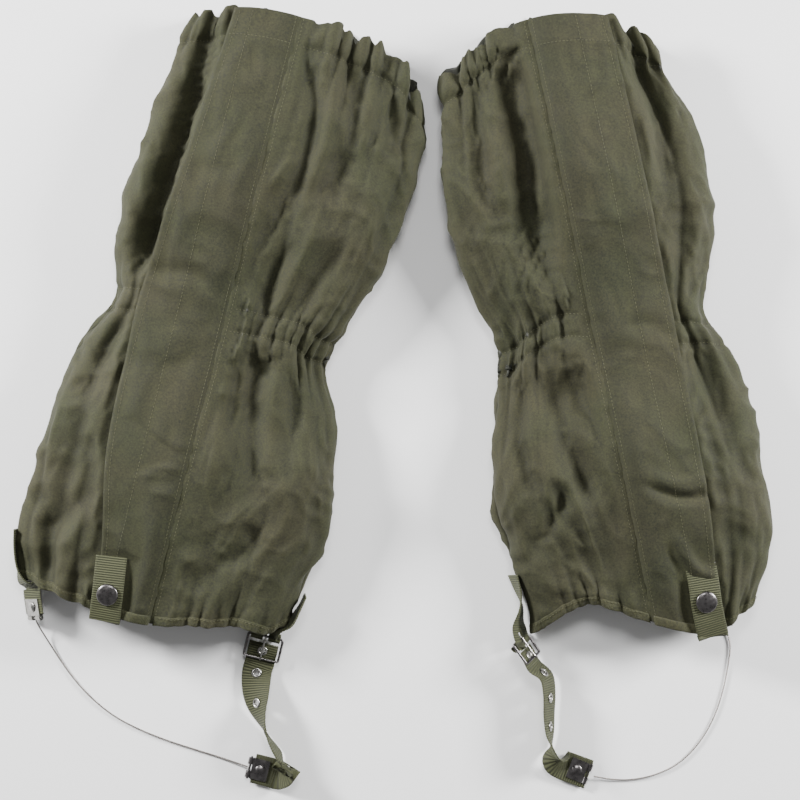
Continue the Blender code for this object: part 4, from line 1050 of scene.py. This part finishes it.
def stitches(gaiter, name, path, normal, body=None, pitch=STITCH_PITCH):
    """A row of separate stitches along a line of layout points."""
    distance = np.concatenate([[0], np.cumsum(np.linalg.norm(np.diff(path, axis=0), axis=1))])
    count = int(distance[-1] / pitch)
    middles = (np.arange(count) + 0.5) * pitch
    ends = np.stack([middles - STITCH_LENGTH / 2, middles, middles + STITCH_LENGTH / 2], axis=1)
    centres = np.stack([np.interp(ends, distance, path[:, axis]) for axis in range(3)], axis=-1)
    upward = np.stack([np.interp(middles, distance, normal[:, axis]) for axis in range(3)], axis=-1)
    upward /= np.linalg.norm(upward, axis=-1, keepdims=True)
    run = centres[:, 2] - centres[:, 0]
    run /= np.linalg.norm(run, axis=-1, keepdims=True)
    sideways = np.cross(run, upward)
    rings = []
    for number, (raise_by, size) in enumerate(((-0.25, 0.35), (0.12, 1.0), (-0.25, 0.35))):
        for angle in np.linspace(0, 2 * math.pi, 7)[:-1]:
            radius = STITCH_RADIUS * size
            offset = sideways * math.cos(angle) * radius + upward * (math.sin(angle) * radius + raise_by)
            rings.append(centres[:, number] + offset)
    points = to_world(gaiter, np.stack(rings, axis=1).reshape(-1, 3))
    faces = []
    for stitch in range(count):
        base = stitch * 18
        for ring in (0, 6):
            for side in range(6):
                a, b = base + ring + side, base + ring + (side + 1) % 6
                faces.append((a, b, b + 6, a + 6))
        faces.append(tuple(base + side for side in range(5, -1, -1)))
        faces.append(tuple(base + 12 + side for side in range(6)))
    mesh = bpy.data.meshes.new(name)
    mesh.from_pydata(points, [], faces)
    mesh.shade_smooth()
    made = bpy.data.objects.new(f"{gaiter.name}_{name}", mesh)
    bpy.context.scene.collection.objects.link(made)
    made.data.materials.append(looks["thread"])
    if body:
        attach(made, gaiter.name + "_" + body)
    return made


def line_on(grid, normal, rows, columns):
    """Points and normals of a grid along (row, column) places, which may be fractions."""
    row0 = np.clip(np.floor(rows).astype(int), 0, grid.shape[0] - 2)
    column0 = np.floor(columns).astype(int)
    up, across = (rows - row0)[:, None], (columns - column0)[:, None]

    def pick(values):
        near, far = column0 % values.shape[1], (column0 + 1) % values.shape[1]
        low = values[row0, near] * (1 - across) + values[row0, far] * across
        high = values[row0 + 1, near] * (1 - across) + values[row0 + 1, far] * across
        return low * (1 - up) + high * up

    return pick(grid), pick(normal)


def column_of(grid, s):
    """For each row of a grid, the fractional column where its s crosses the given s."""
    places = []
    for row, wanted in zip(grid[..., 0], np.broadcast_to(s, grid.shape[0])):
        places.append(np.interp(-wanted, -row, np.arange(len(row))))
    return np.array(places)


def sewing(gaiter, leg, cover):
    """Every visible line of stitches."""
    rows = np.arange(leg["points"].shape[0])
    v = rows / rows[-1]
    front = FRONT_COLUMNS * FINER
    points, normal = leg["points"], leg["normal"]
    columns = column_of(points[:, :front], seam(gaiter, v) + 3.6)
    stitches(gaiter, "seam_stitches_inner", *line_on(points, normal, rows, columns), body="gaiter")
    flat, out = cover["points"], cover["normal"]
    span = flat.shape[1] - 1
    for name, inset in (("seam_stitches_outer", 2.6), ("tape_stitches", 37.0)):
        columns = column_of(flat, seam(gaiter, v) - inset)
        join_at_seam(stitches(gaiter, name, *line_on(flat, out, rows, columns)))
    columns = column_of(flat, flap_edge(gaiter, v) + 3.6)
    stitches(gaiter, "flap_edge_stitches", *line_on(flat, out, rows, columns), body="flap")
    top = (1.0 - CASING / LEG) * rows[-1]
    across = np.linspace(1.0, span - 0.5, 60)
    stitches(gaiter, "flap_casing_stitches", *line_on(flat, out, np.full(60, top), across), body="flap")
    waist = float(v_at(gaiter, 60.0, gaiter.waist))
    around = np.linspace(front + OUTER_COLUMNS * FINER * 0.42, points.shape[1] + front - 4.0, 500)
    levels = {"casing_stitches": 1.0 - CASING / LEG, "channel_stitches_low": waist - CHANNEL / 2 / LEG,
              "channel_stitches_high": waist + CHANNEL / 2 / LEG,
              "binding_stitches": (BINDING_WIDTH - 3.4) / LEG}
    for name, level in levels.items():
        line, out_line = line_on(points, normal, np.full(500, level * rows[-1]), around)
        lift = 1.1 if name == "binding_stitches" else 0.0
        stitches(gaiter, name, line + out_line * lift, out_line, body="gaiter")


# Webbing

def strip_frames(stations, step):
    """Even steps along a strip of webbing: centre, direction, width direction, normal and distance."""
    flat = [(*station[:3], *station[3]) for station in stations]
    dense = np.linspace(0.0, len(flat) - 1.0, len(flat) * 60)
    route = along_points(flat, dense)[:, :3]
    distance = np.concatenate([[0], np.cumsum(np.linalg.norm(np.diff(route, axis=0), axis=1))])
    wanted = np.arange(0.0, distance[-1], step)
    return strip_at(flat, np.interp(wanted, distance, dense)) + (wanted,)


def strip_at(flat, at):
    """Centre, direction, width direction and normal at station numbers."""
    here = along_points(flat, at)
    along = along_points(flat, at + 0.02)[..., :3] - along_points(flat, at - 0.02)[..., :3]
    along /= np.linalg.norm(along, axis=-1, keepdims=True)
    wide = here[..., 3:]
    wide = wide - along * (wide * along).sum(-1, keepdims=True)
    wide /= np.linalg.norm(wide, axis=-1, keepdims=True)
    return here[..., :3], along, wide, np.cross(along, wide)


def webbing(gaiter, name, stations, width=STRAP_WIDTH, look="webbing"):
    """A strip of ribbed webbing, with its ribs as real ridges."""
    centre, _, wide, normal, distance = strip_frames(stations, RIB_PITCH / 6)
    rib = np.abs(np.sin(math.pi * distance / RIB_PITCH)) ** 0.7
    sides = np.array((-1.0, -0.97, -0.86, -0.5, -0.17, 0.17, 0.5, 0.86, 0.97, 1.0))
    thick = np.array((0.25, 0.8, 1.0, 1.0, 1.0, 1.0, 1.0, 1.0, 0.8, 0.25))
    ring = []
    for up, order in ((1.0, slice(None)), (-1.0, slice(None, None, -1))):
        for side, bulk in zip(sides[order], thick[order]):
            lift = up * bulk * (WEBBING / 2 - 0.24 + 0.3 * rib)
            edge = side * (width / 2 - 0.15 + 0.15 * rib * (abs(side) > 0.95))
            ring.append(centre + wide * np.asarray(edge)[..., None] + normal * lift[:, None])
    ring = np.stack(ring, axis=1)
    across = np.concatenate([sides, sides[::-1] + 4.0]) * width / 2
    cloth_at = np.stack(np.broadcast_arrays(across[None, :], distance[:, None]), axis=-1)
    made = grid_object(f"{gaiter.name}_{name}", to_world(gaiter, ring), closed=True,
                       flip=gaiter.hand > 0, cloth_at=cloth_at * MM)
    cap_ends(made, ring.shape[1])
    made.data.materials.append(looks[look])
    return made


def buckle_axes(gaiter):
    """The buckle's directions in the layout: down the leg, across the strap and out of its face."""
    along = Vector(gaiter.buckle_along).normalized()
    face = Vector(gaiter.buckle_normal)
    face = (face - along * face.dot(along)).normalized()
    return along, face.cross(along), face


def buckle_stations(gaiter, places):
    """Stations at (distance down the leg, height off the frame) places in the buckle."""
    along, across, face = buckle_axes(gaiter)
    if across.z < 0 or (across.z == 0 and across.x < 0):
        across = -across
    middle = Vector(gaiter.buckle_at)
    return tuple((*(middle + along * down + face * up), tuple(across)) for down, up in places)


def straight_end(end):
    """The last stations of a strip whose end lies straight in its clamp."""
    point, along, width = Vector(end[0]), Vector(end[1]).normalized(), end[2]
    return tuple((*(point - along * back), width) for back in (CLAMP_LENGTH + 9.0, CLAMP_LENGTH + 1.0, 0.0))


def buckle_hanger_stations(gaiter):
    """Down the side of the leg and once round the buckle's upper bar."""
    reach = BUCKLE_WIRE + 1.2 + WEBBING / 2
    places = ((-BAR - 1.6, reach), (-BAR + 0.4, reach), (-BAR + reach * 0.85, reach * 0.55),
              (-BAR + reach * 0.85, -reach * 0.55), (-BAR + 0.4, -reach), (-BAR - 2.2, -reach))
    return gaiter.buckle_hanger + buckle_stations(gaiter, places)


def strap_stations(gaiter):
    """From its end inside the buckle, under the lower bar, down to its clamp."""
    under = -BUCKLE_WIRE - 0.6 - WEBBING / 2
    places = ((-3.5, -0.6), (BAR * 0.3, -1.0), (BAR, under), (BAR + 4.0, under))
    return buckle_stations(gaiter, places) + gaiter.strap + straight_end(gaiter.strap_end)


def clamp_hanger_stations(gaiter):
    return gaiter.clamp_hanger + straight_end(gaiter.clamp_hanger_end)


def layout_matrix(gaiter, origin, along, normal):
    """The world matrix at a layout point, with X along the piece and Z along its normal."""
    turned = leg_frame(gaiter).to_3x3()
    x_axis = (turned @ Vector((gaiter.hand * along[0], along[1], along[2]))).normalized()
    z_axis = turned @ Vector((gaiter.hand * normal[0], normal[1], normal[2]))
    z_axis = (z_axis - x_axis * z_axis.dot(x_axis)).normalized()
    axes = Matrix((x_axis, z_axis.cross(x_axis), z_axis)).transposed().to_4x4()
    return Matrix.Translation(Vector(to_world(gaiter, [origin])[0])) @ axes


def turned_piece(name, profile, matrix, look, sides=40):
    """A closed body turned about its own Z from a profile of (radius, height)."""
    shape = bmesh.new()
    rings = []
    for number in range(sides):
        angle = 2 * math.pi * number / sides
        x, y = math.cos(angle), math.sin(angle)
        rings.append([shape.verts.new((radius * x * MM, radius * y * MM, height * MM))
                      for radius, height in profile])
    for number in range(sides):
        here, after = rings[number], rings[(number + 1) % sides]
        for low in range(len(profile)):
            high = (low + 1) % len(profile)
            shape.faces.new((here[low], after[low], after[high], here[high]))
    bmesh.ops.remove_doubles(shape, verts=shape.verts, dist=0.000001)
    bmesh.ops.recalc_face_normals(shape, faces=shape.faces)
    mesh = bpy.data.meshes.new(name)
    shape.to_mesh(mesh)
    shape.free()
    mesh.transform(matrix)
    mesh.shade_smooth()
    made = bpy.data.objects.new(name, mesh)
    bpy.context.scene.collection.objects.link(made)
    mesh.materials.append(looks[look])
    return made


def cut(made, matrix, radius, length, square=None):
    """Cut a round hole, or a square slot, through a finished mesh."""
    shape = bmesh.new()
    if square:
        bmesh.ops.create_cube(shape, size=1.0)
        bmesh.ops.scale(shape, vec=Vector(square) * MM, verts=shape.verts)
    else:
        bmesh.ops.create_cone(shape, cap_ends=True, segments=24, radius1=radius * MM, radius2=radius * MM,
                              depth=length * MM)
    mesh = bpy.data.meshes.new("cutter")
    shape.to_mesh(mesh)
    shape.free()
    mesh.transform(matrix)
    cutter = bpy.data.objects.new("cutter", mesh)
    bpy.context.scene.collection.objects.link(cutter)
    change = made.modifiers.new("hole", "BOOLEAN")
    change.object = cutter
    change.solver = "EXACT"
    change.use_self = True
    bpy.context.view_layer.update()
    result = bpy.data.meshes.new_from_object(made.evaluated_get(bpy.context.evaluated_depsgraph_get()))
    made.modifiers.clear()
    made.data = result
    bpy.data.objects.remove(cutter)


def polished(gaiter, node, look, round_wire=False):
    """A metal piece on its CAD solid's shape, with its edges eased."""
    source = frame["nodes"][f"{gaiter.name}_{node}"]
    mesh = source.data.copy()
    mesh.materials.clear()
    shape = bmesh.new()
    shape.from_mesh(mesh)
    bmesh.ops.remove_doubles(shape, verts=shape.verts, dist=0.000005)
    if not round_wire:
        bmesh.ops.dissolve_limit(shape, angle_limit=math.radians(2.0), verts=shape.verts, edges=shape.edges)
    bmesh.ops.recalc_face_normals(shape, faces=shape.faces)
    shape.to_mesh(mesh)
    shape.free()
    mesh.materials.append(looks[look])
    made = bpy.data.objects.new(f"{gaiter.name}_{node}_finish", mesh)
    bpy.context.scene.collection.objects.link(made)
    mesh.shade_smooth()
    if round_wire:
        finer_wire = made.modifiers.new("round", "SUBSURF")
        finer_wire.levels = finer_wire.render_levels = 1
    else:
        mesh.set_sharp_from_angle(angle=math.radians(32.0))
        eased = made.modifiers.new("eased", "BEVEL")
        eased.width = 0.22 * MM
        eased.segments = 2
        eased.angle_limit = math.radians(35.0)
        eased.harden_normals = True
    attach(made, source["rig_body"])
    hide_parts(source.name)
    return made


# Foot loop and snap

def hangers(gaiter):
    """The two strips sewn to the sides, running from the sleeve to the foot loop."""
    for name, stations, top, low in (("buckle_hanger", buckle_hanger_stations(gaiter), 24.0, 6.0),
                                     ("clamp_hanger", clamp_hanger_stations(gaiter), 14.0, -6.0)):
        made = webbing(gaiter, name + "_webbing", stations)
        if name == "buckle_hanger":
            along, _, face = buckle_axes(gaiter)
            bar = Vector(gaiter.buckle_at) - along * BAR
            cut(made, layout_matrix(gaiter, bar, along, face), 0, 0, square=BUCKLE_SLOT)
        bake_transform(made)
        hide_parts(f"{gaiter.name}_{name}")
        strip_size(stations)


def strip_size(stations, width=STRAP_WIDTH):
    """Width and length of a strip of webbing laid flat, in metres."""
    return width * MM, float(strip_frames(stations, 1.0)[4][-1]) * MM


EYELET_PROFILE = ((2.1, 0.9), (2.5, 1.45), (3.3, 1.5), (4.0, 1.15), (4.0, 0.8), (2.9, 0.7),
                  (2.9, -0.7), (4.0, -0.8), (4.0, -1.15), (3.3, -1.5), (2.5, -1.45), (2.1, -0.9))


def eyelet_strap(gaiter):
    """The instep strap, with its eyelets through real holes."""
    stations = strap_stations(gaiter)
    made = webbing(gaiter, "instep_strap", stations)
    flat = [(*station[:3], *station[3]) for station in stations]
    for number, at in enumerate(gaiter.eyelets_at, start=1):
        centre, along, _, normal = strip_at(flat, np.array(at))
        matrix = layout_matrix(gaiter, centre, along, normal)
        cut(made, matrix, EYELET_HOLE, EYELET_REACH)
        ring = turned_piece(f"{gaiter.name}_eyelet_ring_{number}", EYELET_PROFILE, matrix, "bright", 32)
        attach(ring, gaiter.name + "_foot_loop")
        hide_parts(f"{gaiter.name}_eyelet_{number}")
    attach(made, gaiter.name + "_foot_loop")
    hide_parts(gaiter.name + "_eyelet_strap")
    strip_size(stations)


def snap_tab(gaiter):
    """The ribbed tab over the flap's hem, with its press stud."""
    stations = []
    for s, y, stand_off in gaiter.tab:
        v = max(float(v_at(gaiter, s, y)), 0.0)
        half = WEBBING_WIDTH / 2
        left, right = skin(gaiter, v, turn_at(gaiter, v, np.array((s - half, s + half))))[0]
        slope = (right[2] - left[2]) / (right[0] - left[0])
        z = skin(gaiter, v, turn_at(gaiter, v, np.array(s)), FLAP_LIFT + 0.5 + WEBBING / 2 + stand_off)[0][2]
        stations.append((s, y, float(z), (1.0, 0.0, float(slope))))
    flat = [(*station[:3], *station[3]) for station in stations]
    centre, along, _, normal = strip_at(flat, np.array(2.0))
    s, y, z, wide = stations[-1]
    stations += [(s + 0.2, y - 1.2, z - 1.2, wide), (s, y + 1.2, z - 2.0, wide), (s, y + 6.5, z - 1.7, wide)]
    made = webbing(gaiter, "tab_webbing", stations, WEBBING_WIDTH)
    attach(made, gaiter.name + "_tab")
    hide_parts(gaiter.name + "_snap_tab")
    strip_size(stations, WEBBING_WIDTH)
    dome = [(0.0, 3.1)]
    dome += [(8.5 * math.sin(turn), 1.3 + 1.8 * math.cos(turn)) for turn in np.radians(np.arange(12, 85, 8))]
    dome += [(8.6, 1.1), (8.6, 0.6), (8.2, 0.2), (7.6, 0.1), (0.0, 0.1)]
    matrix = layout_matrix(gaiter, centre + normal * (WEBBING / 2 + 0.2), along, normal)
    cap = turned_piece(gaiter.name + "_snap_dome", dome, matrix, "dark", 64)
    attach(cap, gaiter.name + "_tab")
    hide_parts(gaiter.name + "_snap_cap")


def hardware(gaiter):
    """Webbing, press stud, buckle and strap ends."""
    hangers(gaiter)
    eyelet_strap(gaiter)
    snap_tab(gaiter)
    polished(gaiter, "buckle_frame", "dark", round_wire=True)
    polished(gaiter, "buckle_tongue", "bright", round_wire=True)
    for prefix, look in (("strap", "dark"), ("hanger", "bright" if gaiter is LEFT else "dark")):
        for piece in ("clamp", "clamp_rivet", "clamp_pin"):
            polished(gaiter, f"{prefix}_{piece}", look)
    for node in ("snap_socket", "snap_stud"):
        polished(gaiter, node, "bright")
    for node in ("hook_tape", "loop_tape"):
        polished(gaiter, node, "tape")


def cable(gaiter):
    """The steel cable under the boot, from one strap end to the other."""
    at = np.linspace(0.0, len(gaiter.cable) - 1.0, 160)
    route = to_world(gaiter, along_points(gaiter.cable, at))
    curve = bpy.data.curves.new(gaiter.name + "_wire_cable", "CURVE")
    curve.dimensions = "3D"
    curve.bevel_depth = CABLE_RADIUS * MM
    curve.bevel_resolution = 4
    curve.use_fill_caps = True
    line = curve.splines.new("POLY")
    line.points.add(len(route) - 1)
    for point, place in zip(line.points, route):
        point.co = (*place, 1.0)
    made = bpy.data.objects.new(gaiter.name + "_wire_cable", curve)
    bpy.context.scene.collection.objects.link(made)
    curve.materials.append(looks["cable"])
    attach(made, gaiter.name + "_foot_loop")
    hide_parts(gaiter.name + "_cable")


# Stage

def floor():
    bpy.ops.mesh.primitive_grid_add(x_subdivisions=8, y_subdivisions=8, size=8.0,
                                    location=(0.0, 0.0, -0.0004))
    made = bpy.context.object
    made.name = "floor"
    made.data.materials.append(looks["floor"])


def light(name, place, size, power, aim=(0.0, 0.0, 0.0)):
    data = bpy.data.lights.new(name, "AREA")
    data.size = size
    data.energy = power
    made = bpy.data.objects.new(name, data)
    bpy.context.scene.collection.objects.link(made)
    made.location = place
    made.rotation_euler = (Vector(aim) - Vector(place)).to_track_quat("-Z", "Y").to_euler()


def studio():
    light("left_softbox", (-1.6, 0.8, 0.85), 0.4, 104.0, (-0.1, 0.0, 0.0))
    light("right_softbox", (1.6, 0.5, 0.8), 0.5, 74.0, (0.1, 0.0, 0.0))
    light("overhead", (0.1, 1.1, 2.2), 0.7, 30.0)
    world = bpy.data.worlds.new("studio")
    world.use_nodes = True
    world.node_tree.nodes["Background"].inputs["Color"].default_value = (1.0, 1.0, 1.0, 1.0)
    world.node_tree.nodes["Background"].inputs["Strength"].default_value = 0.25
    bpy.context.scene.world = world


def camera():
    data = bpy.data.cameras.new("camera")
    data.lens = CAMERA_LENS
    data.sensor_width = SENSOR
    made = bpy.data.objects.new("camera", data)
    bpy.context.scene.collection.objects.link(made)
    height = VIEW_WIDTH * CAMERA_LENS / SENSOR + VIEW_LEVEL
    made.location = (VIEW_CENTRE[0], VIEW_CENTRE[1], height)
    data.clip_end = 20.0
    bpy.context.scene.camera = made


def make_looks():
    """Every material, by the name that the pieces use."""
    return {
        "cloth": cloth_material("olive_twill"),
        "binding": cloth_material("hem_binding_tape", light=1.35, weave=1.4),
        "lining": lining_material(),
        "webbing": webbing_material(),
        "thread": thread_material(),
        "dark": metal_material("dark_nickel_plate", (0.16, 0.15, 0.15), 0.22),
        "bright": metal_material("bright_nickel_plate", (0.42, 0.41, 0.39), 0.2, 1.5),
        "tape": pile_material("closure_pile", (0.014, 0.016, 0.011)),
        "elastic": webbing_material("braided_elastic", (0.012, 0.013, 0.008)),
        "cable": cable_material(),
        "floor": floor_material(),
    }


def main():
    camera()
    studio()
    floor()
    for gaiter in (LEFT, RIGHT):
        cable(gaiter)
        leg = sleeve(gaiter)
        cover = flap(gaiter)
        hem(gaiter, leg, cover)
        sewing(gaiter, leg, cover)
        hardware(gaiter)


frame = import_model()
looks = make_looks()
main()
